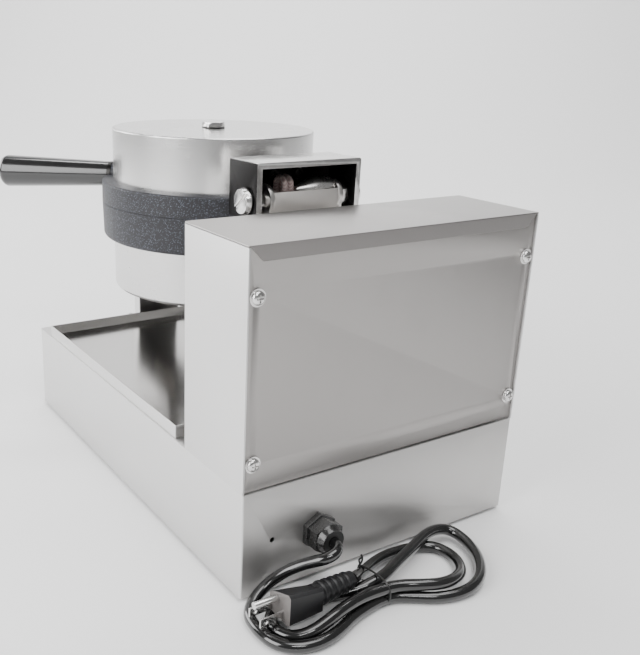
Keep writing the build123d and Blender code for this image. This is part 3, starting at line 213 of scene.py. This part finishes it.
SHEET_SIDE = brushed_steel("steel_sides", (0.74, 0.735, 0.73), 0.44, (1.0, 1.0, 40.0))
# painted shade: a darker copy of the side steel for the base's faces turned to the rear
SHEET_REAR_SHADED = brushed_steel("steel_rear", (0.60, 0.59, 0.58), 0.50, (40.0, 1.0, 1.0))
# painted shade: a darker copy of the side steel for the rear cover, also used on the bottom plate
SHEET_COVER_SHADED = brushed_steel("steel_cover", (0.40, 0.385, 0.375), 0.44, (40.0, 1.0, 1.0))
# painted shade: the lid's top is a darker copy of the side steel
SHEET_LID_SHADED = brushed_steel("steel_lid", (0.40, 0.385, 0.375), 0.30, (1.0, 40.0, 1.0))
# painted shade: a still darker copy of the steel for the lid's lip turned to the rear
SHEET_LIP_SHADED = brushed_steel("steel_lip", (0.22, 0.21, 0.205), 0.40, (40.0, 1.0, 1.0))
CASING = brushed_steel("steel_casing", (0.70, 0.695, 0.69), 0.25, (1.0, 1.0, 60.0), 0.4)
HINGE_STEEL = brushed_steel("steel_hinge", (0.72, 0.71, 0.70), 0.26, (1.0, 30.0, 1.0))
# painted shade and painted dark reflection: a near-black copy of the hinge steel for the yoke's
# sides, underside and inner web
HINGE_PAINTED_SHADE = brushed_steel("steel_hinge_dark", (0.020, 0.019, 0.019), 0.38, (1.0, 1.0, 30.0))
BRACKET_STEEL = brushed_steel("steel_bracket", (0.70, 0.68, 0.66), 0.30, (20.0, 1.0, 4.0))
# painted shade: a near-black copy of the steel for the post's rear face and inner walls under the
# head
SUPPORT_PAINTED_SHADE = brushed_steel("steel_support", (0.16, 0.155, 0.15), 0.36, (1.0, 1.0, 30.0))
CUT_STEEL = bright_metal("steel_bright", (0.84, 0.83, 0.82), 0.20)
DARK_STEEL = bright_metal("steel_dark", (0.035, 0.034, 0.033), 0.30)
CHROME = bright_metal("nut_chrome", (0.86, 0.85, 0.84), 0.10)
CASTING = bright_metal("elbow_cast", (0.80, 0.79, 0.77), 0.26)
TRAY_STEEL = mirror_steel("tray_polished")
IRON = coated_iron("iron_coated")
GRIP_BLACK = moulded("grip_black", (0.006, 0.006, 0.006), 0.20, 0.7, 0.03)
NYLON = moulded("gland_nylon", (0.012, 0.012, 0.012), 0.26, 0.4, 0.10)
JACKET = moulded("lead_jacket", (0.004, 0.004, 0.004), 0.16, 0.9, 0.03)
PLUG_SKIN = moulded("plug_skin", (0.009, 0.009, 0.010), 0.42, 0.0, 0.12)
PLUG_FACE = moulded("plug_face", (0.13, 0.12, 0.115), 0.45, 0.1, 0.25, 500.0)
FOOT_RUBBER = moulded("foot_rubber", (0.02, 0.02, 0.02), 0.7, 0.0, 0.2)
KNOB_BLACK = moulded("knob_black", (0.012, 0.012, 0.012), 0.36, 0.1, 0.1)
ROCKER_RED = moulded("rocker_red", (0.50, 0.02, 0.02), 0.28, 0.3, 0.04)
LENS_AMBER = moulded("lens_amber", (0.80, 0.22, 0.03), 0.15, 0.6, 0.02)
BLOCK_WHITE = moulded("block_white", (0.75, 0.74, 0.70), 0.5)
TIE_BLACK = moulded("tie_black", (0.01, 0.01, 0.01), 0.35, 0.3)
WOOL = woven("wool", (0.78, 0.74, 0.62), (0.62, 0.58, 0.46))
SLEEVE = woven("sleeve", (0.78, 0.74, 0.68), (0.50, 0.44, 0.40))
LEAD_SKIN = woven("lead_skin", (0.74, 0.64, 0.62), (0.40, 0.26, 0.25))
COPPER = bright_metal("bulb_copper", (0.72, 0.43, 0.28), 0.3)
ELEMENT = bright_metal("element_sheath", (0.22, 0.21, 0.20), 0.5)


# ------------------------------------------------------------------- helpers
ROUNDED_ABOVE = math.radians(32)   # sharper edges than this are rounded
FLAT_WITHIN = math.radians(0.6)    # flatter edges than this are taken out
MERGE_DISTANCE = 2e-6


def new_object(name, mesh, *materials):
    """Puts a mesh in the scene with these materials only."""
    made = bpy.data.objects.new(name, mesh)
    bpy.context.scene.collection.objects.link(made)
    mesh.materials.clear()
    for material in materials:
        mesh.materials.append(material)
    return made


def from_bmesh(name, shape, *materials):
    """Makes an object of a bmesh, and frees the bmesh."""
    mesh = bpy.data.meshes.new(name)
    shape.normal_update()
    shape.to_mesh(mesh)
    shape.free()
    return new_object(name, mesh, *materials)


def bake_modifiers(piece):
    """Turns a piece with modifiers, or a curve, into a plain mesh."""
    graph = bpy.context.evaluated_depsgraph_get()
    mesh = bpy.data.meshes.new_from_object(piece.evaluated_get(graph))
    name, materials = piece.name, [slot.material for slot in piece.material_slots]
    bpy.data.objects.remove(piece)
    return new_object(name, mesh, *materials)


def shade(piece, angle=35.0):
    """Smooth shading, with a crease where faces meet at more than the angle in degrees."""
    piece.data.shade_smooth()
    piece.data.set_sharp_from_angle(angle=math.radians(angle))
    return piece


def softened(node, name, material, width, body, segments=2):
    """A copy of a CAD node with its edges rounded; it stands for that node."""
    shape = bmesh.new()
    shape.from_mesh(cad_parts[node].data)
    bmesh.ops.remove_doubles(shape, verts=shape.verts, dist=MERGE_DISTANCE)
    bmesh.ops.dissolve_limit(shape, angle_limit=FLAT_WITHIN, verts=shape.verts,
                             edges=shape.edges)
    piece = from_bmesh(name, shape, material)
    piece.data.shade_smooth()
    bevel = piece.modifiers.new("edges", "BEVEL")
    bevel.width, bevel.segments, bevel.limit_method = width, segments, "ANGLE"
    bevel.angle_limit = ROUNDED_ABOVE
    bevel.harden_normals = True
    piece = bake_modifiers(piece)
    shade(piece, 40.0)
    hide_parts(node)
    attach(piece, body)
    return piece


def paint(piece, *rules):
    """Gives faces a further material; a rule is (test(normal, centre), material)."""
    for test, material in rules:
        piece.data.materials.append(material)
        index = len(piece.data.materials) - 1
        for face in piece.data.polygons:
            if test(face.normal, face.center):
                face.material_index = index
    return piece


def dress(material, *nodes):
    """Gives CAD nodes that keep their own shape a material."""
    for node in nodes:
        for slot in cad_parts[node].material_slots:
            slot.material = material


def turned(profile, start, direction, steps=48):
    """A lathed shape: (distance along, radius) pairs about a line."""
    way = Vector(direction).normalized()
    turn = Vector((0, 0, 1)).rotation_difference(way).to_matrix().to_4x4()
    shape = bmesh.new()
    rings = []
    for along, radius in profile:
        if radius < 1e-7:
            rings.append([shape.verts.new((0, 0, along))])
            continue
        rings.append([shape.verts.new((radius * math.cos(2 * math.pi * step / steps),
                                       radius * math.sin(2 * math.pi * step / steps), along))
                      for step in range(steps)])
    for low, high in zip(rings, rings[1:]):
        for step in range(steps):
            after = (step + 1) % steps
            corners = [low[step % len(low)], low[after % len(low)],
                       high[after % len(high)], high[step % len(high)]]
            unique = list(dict.fromkeys(corners))
            if len(unique) > 2:
                shape.faces.new(unique)
    for ring, flip in ((rings[0], True), (rings[-1], False)):
        if len(ring) > 2:
            shape.faces.new(ring[::-1] if flip else ring)
    bmesh.ops.recalc_face_normals(shape, faces=shape.faces)
    bmesh.ops.transform(shape, matrix=Matrix.Translation(start) @ turn, verts=shape.verts)
    return shape


def add_shape(target, other):
    """Joins one bmesh into another."""
    mesh = bpy.data.meshes.new("part")
    other.to_mesh(mesh)
    other.free()
    target.from_mesh(mesh)
    bpy.data.meshes.remove(mesh)


# ------------------------------------------------------------ repeated pieces
def scatter(name, shape, places, material, body, node):
    """Sets one small shape at each place by Geometry Nodes, then makes a plain mesh.

    places holds (position, direction) pairs; the shape's own axis is +Z. The new piece
    stands for the CAD node, and the shape is removed."""
    points = bpy.data.meshes.new(name + "_points")
    points.from_pydata([tuple(position) for position, _ in places], [], [])
    turns = points.attributes.new("turn", "FLOAT_VECTOR", "POINT")
    for index, (_, direction) in enumerate(places):
        way = Vector((0, 0, 1)).rotation_difference(Vector(direction)).to_euler()
        turns.data[index].vector = tuple(way)
    host = bpy.data.objects.new(name, points)
    bpy.context.scene.collection.objects.link(host)
    tree = bpy.data.node_groups.new(name + "_tree", "GeometryNodeTree")
    add_socket = tree.interface.new_socket
    add_socket("Geometry", in_out="INPUT", socket_type="NodeSocketGeometry")
    add_socket("Shape", in_out="INPUT", socket_type="NodeSocketObject")
    add_socket("Size", in_out="INPUT", socket_type="NodeSocketFloat")
    add_socket("Geometry", in_out="OUTPUT", socket_type="NodeSocketGeometry")
    add, link = tree.nodes.new, tree.links.new
    start, end = add("NodeGroupInput"), add("NodeGroupOutput")
    thing = add("GeometryNodeObjectInfo")
    attribute = add("GeometryNodeInputNamedAttribute")
    attribute.data_type = "FLOAT_VECTOR"
    attribute.inputs["Name"].default_value = "turn"
    setting = add("GeometryNodeInstanceOnPoints")
    real = add("GeometryNodeRealizeInstances")
    coating = add("GeometryNodeSetMaterial")
    coating.inputs["Material"].default_value = material
    to_points = add("GeometryNodeMeshToPoints")
    link(start.outputs["Geometry"], to_points.inputs["Mesh"])
    link(start.outputs["Shape"], thing.inputs["Object"])
    link(to_points.outputs["Points"], setting.inputs["Points"])
    link(thing.outputs["Geometry"], setting.inputs["Instance"])
    link(attribute.outputs["Attribute"], setting.inputs["Rotation"])
    link(start.outputs["Size"], setting.inputs["Scale"])
    link(setting.outputs["Instances"], real.inputs["Geometry"])
    link(real.outputs["Geometry"], coating.inputs["Geometry"])
    link(coating.outputs["Geometry"], end.inputs["Geometry"])
    growth = host.modifiers.new("repeat", "NODES")
    growth.node_group = tree
    given = {"Shape": shape, "Size": 1.0}
    for socket in tree.interface.items_tree:
        if socket.name in given:
            growth[socket.identifier] = given[socket.name]
    piece = bake_modifiers(host)
    piece.data.materials.clear()
    piece.data.materials.append(material)
    shade(piece)
    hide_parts(node)
    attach(piece, body)
    bpy.data.objects.remove(shape)


def cross_recess_screw(radius, height, shank, shank_length):
    """A screw with a domed cross-recess head; the head's seat is at the origin, facing +Z."""
    point = [(-shank_length, shank * 0.8), (-shank_length + shank * 0.3, shank), (0.0, shank)]
    dome = [(0.0, radius * 0.97), (height * 0.18, radius), (height * 0.45, radius * 0.97),
            (height * 0.75, radius * 0.80), (height * 0.93, radius * 0.52), (height, 0.0)]
    head = from_bmesh("head", turned(point + dome, (0, 0, 0), (0, 0, 1), 40), CUT_STEEL)
    cutter = bmesh.new()
    for turn in (0, 90):
        bmesh.ops.create_cube(cutter, size=1.0, matrix=Matrix.Translation((0, 0, height))
                              @ Matrix.Rotation(math.radians(turn), 4, "Z")
                              @ Matrix.Diagonal((radius * 1.05, radius * 0.22, height * 1.1, 1)))
    tool = from_bmesh("cutter", cutter, CUT_STEEL)
    cut = head.modifiers.new("cut", "BOOLEAN")
    cut.object, cut.solver, cut.use_self = tool, "EXACT", True
    head = bake_modifiers(head)
    bpy.data.objects.remove(tool)
    return head


# --------------------------------------------------------------- mains lead
LEAD = [(63.0, 211.0, 38.3), (63.9, 216.2, 38.2), (67.5, 220.1, 37.7), (72.6, 221.5, 36.7),
        (77.7, 219.9, 34.8), (81.4, 215.5, 32.0), (86.8, 208.2, 27.0), (94.5, 201.6, 20.8),
        (104.5, 198.0, 14.2), (115.0, 199.0, 9.0), (124.0, 203.8, 5.6), (129.6, 210.8, 4.4),
        (131.4, 218.6, 4.3)]
OUTER_TURN = [(132.0, 229.0, 4.3), (130.5, 240.0, 4.3), (124.0, 249.0, 4.3),
              (113.5, 254.3, 4.3), (100.0, 255.0, 4.3), (86.0, 251.5, 4.3), (71.0, 245.5, 4.3),
              (56.0, 242.3, 4.3), (43.0, 240.8, 4.3), (32.5, 243.0, 4.3), (22.0, 250.0, 4.3),
              (9.5, 258.5, 4.3), (-5.0, 263.0, 4.4), (-21.0, 263.0, 5.0), (-37.5, 254.5, 5.6),
              (-51.0, 238.5, 6.0), (-57.0, 220.0, 6.6), (-55.5, 206.5, 8.5),
              (-45.0, 202.0, 10.8), (-28.0, 205.5, 12.6), (-8.0, 214.0, 12.6),
              (12.0, 221.5, 12.6), (28.0, 228.5, 12.6), (43.0, 231.8, 12.2)]
INNER_TURN = [(57.0, 228.5, 8.0), (73.0, 221.0, 4.8), (90.0, 214.5, 4.3), (105.0, 212.0, 4.3),
              (117.0, 216.0, 4.3), (122.6, 226.0, 4.3), (122.0, 236.0, 4.3),
              (115.5, 244.0, 4.8), (104.5, 247.3, 7.5), (92.0, 246.5, 10.5),
              (78.0, 243.5, 12.3), (60.0, 240.6, 12.6), (43.0, 241.2, 12.6),
              (30.0, 243.5, 12.4), (17.0, 250.5, 12.4), (3.0, 255.8, 11.5),
              (-12.0, 254.6, 10.0), (-26.5, 246.0, 6.5), (-36.5, 230.0, 4.3),
              (-35.0, 214.0, 4.3), (-25.0, 206.0, 4.3), (-6.0, 203.5, 5.0), (12.0, 204.5, 6.0),
              (28.0, 210.0, 7.5), (40.0, 216.5, 10.0), (49.5, 222.5, 14.5), (58.5, 226.9, 17.6)]
LEAD_DIAMETER = 8.2 * MM


def round_curve(name, radius, smoothness, material):
    """An empty curve of round section, with closed ends."""
    curve = bpy.data.curves.new(name, "CURVE")
    curve.dimensions = "3D"
    curve.bevel_depth, curve.bevel_resolution = radius, smoothness
    curve.use_fill_caps = True
    curve.materials.append(material)
    return curve


def add_line(curve, points, closed=False):
    """Adds a smooth line along points in millimetres to a curve."""
    line = curve.splines.new("NURBS")
    line.points.add(len(points) - 1)
    for point, (x, y, z) in zip(line.points, points):
        point.co = (x * MM, y * MM, z * MM, 1.0)
    line.order_u = 3
    line.use_cyclic_u, line.use_endpoint_u = closed, not closed
    return line


def show_curve(curve):
    """Puts a curve in the scene, under its own name."""
    shown = bpy.data.objects.new(curve.name, curve)
    bpy.context.scene.collection.objects.link(shown)
    return shown


def mains_lead():
    """The lead from the gland, twice round its tied bundle, to the plug."""
    curve = round_curve("mains_lead", LEAD_DIAMETER / 2, 7, JACKET)
    line = add_line(curve, LEAD + OUTER_TURN + INNER_TURN)
    line.resolution_u = 10
    return show_curve(curve)


def lead_length(lead):
    """The length along the lead's own line."""
    bare = lead.data.copy()
    bare.bevel_depth = 0.0
    probe = show_curve(bare)
    graph = bpy.context.evaluated_depsgraph_get()
    graph.update()
    line = bpy.data.meshes.new_from_object(probe.evaluated_get(graph))
    total = sum((line.vertices[edge.vertices[0]].co - line.vertices[edge.vertices[1]].co).length
                for edge in line.edges)
    bpy.data.objects.remove(probe)
    bpy.data.meshes.remove(line)
    return total


BOOT_START, BOOT_END = Vector((0.0890, 0.2283, 0.0172)), Vector((0.0592, 0.2270, 0.0177))
RIBS, FIRST_RIB, RIB_PITCH = 5, 2.0, 5.2
RIB_RADIUS, RIB_TAPER = 7.7, 0.37    # the first rib's, and how much less each next one has
PLUG_FACE_X = 0.1165                 # the pin face lies past this


def boot_rib(number):
    """One raised ring round the plug's boot; its ends sink into the boot."""
    radius = RIB_RADIUS - number * RIB_TAPER
    outline = [(0.0, -1.0), (0.3, 0.2), (0.8, 0.45), (2.3, 0.4), (2.8, 0.1), (3.1, -1.0)]
    way = BOOT_END - BOOT_START
    start = BOOT_START + way.normalized() * (FIRST_RIB + number * RIB_PITCH) * MM
    return turned([(along * MM, (radius + rise) * MM) for along, rise in outline], start, way)


def plug():
    """Moulded plug: a paler pin face, a ribbed boot behind it, and bright pins."""
    shell = softened("plug_body", "plug_shell", PLUG_SKIN, 0.8 * MM, "base", 3)
    paint(shell, (lambda normal, centre: normal.x > 0.85 and centre.x > PLUG_FACE_X, PLUG_FACE))
    ribs = bmesh.new()
    for number in range(RIBS):
        add_shape(ribs, boot_rib(number))
    collars = shade(from_bmesh("plug_ribs", ribs, PLUG_SKIN), 50)
    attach(collars, "base")
    pins = softened("plug_pins", "plug_blades", CUT_STEEL, 0.25 * MM, "base")
    return [shell, collars, pins]


TIE_X = 40.6
TIE_RADIUS = 0.7
TIE_RING = [(0.0, 211.3, 9.6), (-0.6, 212.9, 14.0), (0.0, 221.0, 16.4), (0.0, 231.5, 17.6),
            (0.6, 242.2, 17.8), (0.0, 246.4, 12.6), (0.0, 245.9, 4.4), (0.0, 241.0, 0.9),
            (0.0, 229.0, 2.2), (0.0, 217.0, 4.6)]
TIE_END, TIE_END_WAY = (TIE_X, 213.2, 13.4), (-3.0, -1.6, 6.4)
TIE_END_POINTS = 16
TIE_TWIST = 1.4 * math.pi


def tie_end(phase):
    """One of the tie's two ends: they wind round each other and part towards the tip."""
    points = []
    for index in range(TIE_END_POINTS):
        along = index / (TIE_END_POINTS - 1)
        spin = phase + along * TIE_TWIST
        apart = TIE_RADIUS * (1.0 + along)
        x, y, z = (start + way * along for start, way in zip(TIE_END, TIE_END_WAY))
        points.append((x + apart * math.cos(spin), y + apart * math.sin(spin), z))
    return points


def twist_tie():
    """Thin coated wire round the bundle, with twisted ends that stand up."""
    curve = round_curve("wire_tie", TIE_RADIUS * MM, 3, TIE_BLACK)
    add_line(curve, [(TIE_X + aside, y, z) for aside, y, z in TIE_RING], closed=True)
    for phase in (0.0, math.pi):
        add_line(curve, tie_end(phase))
    tie = bake_modifiers(show_curve(curve))
    shade(tie, 60)
    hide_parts("twist_tie")
    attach(tie, "base")
    return tie


lead = mains_lead()
plug_pieces = plug()
tie_piece = twist_tie()
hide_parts("lead_tube", "cord_hank")
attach(lead, "base")
round(lead_length(lead), 3)

# ------------------------------------------------------------------- housing
SUPPORT_SIDE_X = 0.0212   # the post's side walls lie past this
TRAY_END_X = 0.12         # the tray's outer end lies past this
SCREW_RADIUS, SCREW_HEAD, SHANK_RADIUS, SHANK_LENGTH = 4.6 * MM, 3.0 * MM, 2.5 * MM, 12.0 * MM

base_sheet = softened("base_shell", "base_sheet", SHEET_SIDE, 0.5 * MM, "base")
# painted shade: faces turned to the rear take the darker copy of the side steel
paint(base_sheet, (lambda normal, centre: normal.y > 0.9, SHEET_REAR_SHADED))
softened("tower_shell", "tower_sheet", SHEET_SIDE, 0.35 * MM, "base")
# painted shade: the lid takes a darker copy of the side steel
lid_sheet = softened("tower_lid", "lid_sheet", SHEET_LID_SHADED, 0.4 * MM, "base")
# painted shade: the lid's faces turned to the rear take the darker lip steel
paint(lid_sheet, (lambda normal, centre: normal.y > 0.5, SHEET_LIP_SHADED))
# painted shade: the rear cover takes the darker copy of the side steel
softened("rear_cover", "cover_sheet", SHEET_COVER_SHADED, 0.25 * MM, "base")
support = softened("front_support", "support_post", SHEET_SIDE, 0.3 * MM, "base")
# painted shade: the post's rear face and inner walls take the near-black steel
paint(support, (lambda normal, centre: normal.y > 0.5 or abs(centre.x) < SUPPORT_SIDE_X,
                SUPPORT_PAINTED_SHADE))
pan = softened("crumb_tray", "tray_pan", TRAY_STEEL, 0.3 * MM, "tray")
paint(pan, (lambda normal, centre: normal.x > 0.8 and centre.x > TRAY_END_X, SHEET_SIDE))
dress(SHEET_COVER_SHADED, "bottom_plate")
dress(FOOT_RUBBER, "rubber_feet", "gland_seal")
dress(CUT_STEEL, "sheet_screws", "rear_cover_washers", "rear_cover_nuts", "hinge_bracket_bolts",
      "lower_nut", "lower_stud", "upper_stud", "handle_stud", "thermostat_shaft", "timer_shaft")


def cover_screws():
    """The rear cover's screws, one in each corner of the box that they fill."""
    low, high = (Vector(corner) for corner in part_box("rear_cover_screws"))
    seat = high.y - SCREW_HEAD
    places = [((x, seat, z), (0, 1, 0)) for x in (low.x + SCREW_RADIUS, high.x - SCREW_RADIUS)
              for z in (low.z + SCREW_RADIUS, high.z - SCREW_RADIUS)]
    screw = cross_recess_screw(SCREW_RADIUS, SCREW_HEAD, SHANK_RADIUS, SHANK_LENGTH)
    scatter("cover_screws", screw, places, CUT_STEEL, "base", "rear_cover_screws")


cover_screws()

# --------------------------------------------------------------- baking head
YOKE_INSIDE_Y = 0.07   # the yoke's faces to the rear before this are inside its channel
YOKE_EDGE_Y = 0.078    # those past this are the rear edges of its side plates

dress(IRON, "lower_plate", "upper_plate")
dress(CASING, "lower_casing", "upper_casing")
dress(WOOL, "lower_insulation", "upper_insulation")
dress(ELEMENT, "lower_heater", "upper_heater")
dress(COPPER, "thermostat_sensor")
dress(SLEEVE, "lower_lead_sleeve", "hinge_lead_sleeve")
dress(LEAD_SKIN, "hinge_leads", "wiring_loom")
yoke = softened("hinge_yoke", "yoke_channel", HINGE_STEEL, 0.5 * MM, "head_upper")
# painted shade and painted dark reflection on the yoke's sides, underside and inner web; bright cut
# steel on its rear edges
paint(yoke, (lambda normal, centre: abs(normal.x) > 0.8 or normal.z < -0.8
             or (normal.y > 0.8 and centre.y < YOKE_INSIDE_Y), HINGE_PAINTED_SHADE),
      (lambda normal, centre: normal.y > 0.6 and centre.y > YOKE_EDGE_Y, CUT_STEEL))
softened("hinge_bracket", "bracket_channel", BRACKET_STEEL, 0.4 * MM, "base")
softened("lead_fitting", "conduit_elbow", CASTING, 1.2 * MM, "base", 4)
softened("pivot_screws", "slotted_pivots", CUT_STEEL, 0.3 * MM, "base")
softened("pivot_jam_nut", "jam_nut", CUT_STEEL, 0.4 * MM, "base")
softened("yoke_bolts", "web_screws", DARK_STEEL, 0.3 * MM, "head_upper")
dress(DARK_STEEL, "top_washer", "handle_ferrule")
softened("top_nut", "cap_nut", CHROME, 0.35 * MM, "head_upper", 3)
dress(GRIP_BLACK, "handle_grip")

# ------------------------------------------------------------------ controls
dress(KNOB_BLACK, "thermostat_knob", "timer_knob", "thermostat_body", "timer_body", "switch_body")
dress(ROCKER_RED, "power_rocker")
dress(LENS_AMBER, "pilot_lights")
dress(BLOCK_WHITE, "terminal_block")

# --------------------------------------------------------------------- gland
softened("gland_body", "gland_flange", NYLON, 0.45 * MM, "base")
softened("gland_dome_nut", "gland_dome", NYLON, 0.45 * MM, "base")
dress(NYLON, "gland_locknut")

# ------------------------------------------------------------ studio, camera
VIEW_PLACE = (0.3827, 0.5955, 0.3551)
VIEW_YAW, VIEW_PITCH, VIEW_ROLL = (math.radians(turn) for turn in (32.6, 18.61, 1.54))
VIEW_LENS, SENSOR_WIDTH = 46.48, 36.0
VIEW_SHIFT_X, VIEW_SHIFT_Y = 0.1108, 0.0035
VIEW_NEAR, VIEW_FAR = 0.05, 60.0
PAPER_COLOUR = (0.93, 0.93, 0.93, 1.0)
PAPER_START, PAPER_BEND, PAPER_TOP = -3.0, 1.6, 4.0
BEND_RADIUS = 1.2
PAPER_HALF_WIDTH = 5.0
ROOM_LIGHT = 0.26
AWAY = Vector((-math.sin(VIEW_YAW), -math.cos(VIEW_YAW), 0))   # level, and away from the viewer


def camera():
    """The view from behind and to the right, with a slight roll and lens shift."""
    ahead = AWAY * math.cos(VIEW_PITCH) - Vector((0, 0, math.sin(VIEW_PITCH)))
    right = ahead.cross(Vector((0, 0, 1))).normalized()
    up = right.cross(ahead)
    rolled_right = right * math.cos(VIEW_ROLL) + up * math.sin(VIEW_ROLL)
    rolled_up = up * math.cos(VIEW_ROLL) - right * math.sin(VIEW_ROLL)
    data = bpy.data.cameras.new("view")
    data.sensor_width, data.lens = SENSOR_WIDTH, VIEW_LENS
    data.shift_x, data.shift_y = VIEW_SHIFT_X, VIEW_SHIFT_Y
    data.clip_start, data.clip_end = VIEW_NEAR, VIEW_FAR
    viewer = bpy.data.objects.new("view", data)
    turn = Matrix((rolled_right, rolled_up, -ahead)).transposed().to_4x4()
    viewer.matrix_world = Matrix.Translation(VIEW_PLACE) @ turn
    bpy.context.scene.collection.objects.link(viewer)
    bpy.context.scene.camera = viewer


def softbox(name, place, target, size, power):
    """A white rectangular lamp at a place, aimed at a target."""
    data = bpy.data.lights.new(name, "AREA")
    data.shape, data.size, data.size_y = "RECTANGLE", size[0], size[1]
    data.energy = power
    lamp = bpy.data.objects.new(name, data)
    lamp.location = place
    lamp.rotation_euler = (Vector(target) - Vector(place)).to_track_quat("-Z", "Y").to_euler()
    bpy.context.scene.collection.objects.link(lamp)


def paper_sweep():
    """A sheet of paper that lies flat, bends up in a quarter round and stands behind."""
    side = Vector((AWAY.y, -AWAY.x, 0))
    profile = [(PAPER_START, 0.0), (PAPER_BEND, 0.0)]
    for degrees in range(5, 91, 5):
        turn = math.radians(degrees)
        profile.append((PAPER_BEND + BEND_RADIUS * math.sin(turn),
                        BEND_RADIUS - BEND_RADIUS * math.cos(turn)))
    profile.append((PAPER_BEND + BEND_RADIUS, PAPER_TOP))
    shape = bmesh.new()
    rows = [[shape.verts.new(AWAY * along + side * across + Vector((0, 0, up)))
             for across in (-PAPER_HALF_WIDTH, PAPER_HALF_WIDTH)] for along, up in profile]
    for low, high in zip(rows, rows[1:]):
        shape.faces.new((low[0], low[1], high[1], high[0]))
    paper = Finish("paper", Base_Color=PAPER_COLOUR, Roughness=0.9)
    floor = from_bmesh("floor", shape, paper.material)
    floor.data.shade_smooth()


def studio():
    """White paper sweep, low room light and five soft boxes."""
    paper_sweep()
    world = bpy.data.worlds.new("studio")
    world.use_nodes = True
    room = world.node_tree.nodes["Background"]
    room.inputs["Color"].default_value = (1.0, 1.0, 1.0, 1.0)
    room.inputs["Strength"].default_value = ROOM_LIGHT
    bpy.context.scene.world = world
    softbox("key", (1.7, 0.1, 0.9), (0, 0, 0.15), (1.3, 1.3), 40)
    softbox("side", (1.1, -1.6, 0.8), (0, 0, 0.15), (1.2, 1.0), 26)
    softbox("over", (-0.2, 0.5, 1.9), (0, 0, 0.1), (1.4, 1.0), 22)
    softbox("strip", (0.5, 1.5, 1.5), (0.05, 0.2, 0.05), (0.9, 0.12), 9)
    softbox("back", AWAY * 1.2 + Vector((0, 0, 2.6)), AWAY * 2.6 + Vector((0, 0, 0.9)),
            (2.4, 1.0), 90)


camera()
studio()
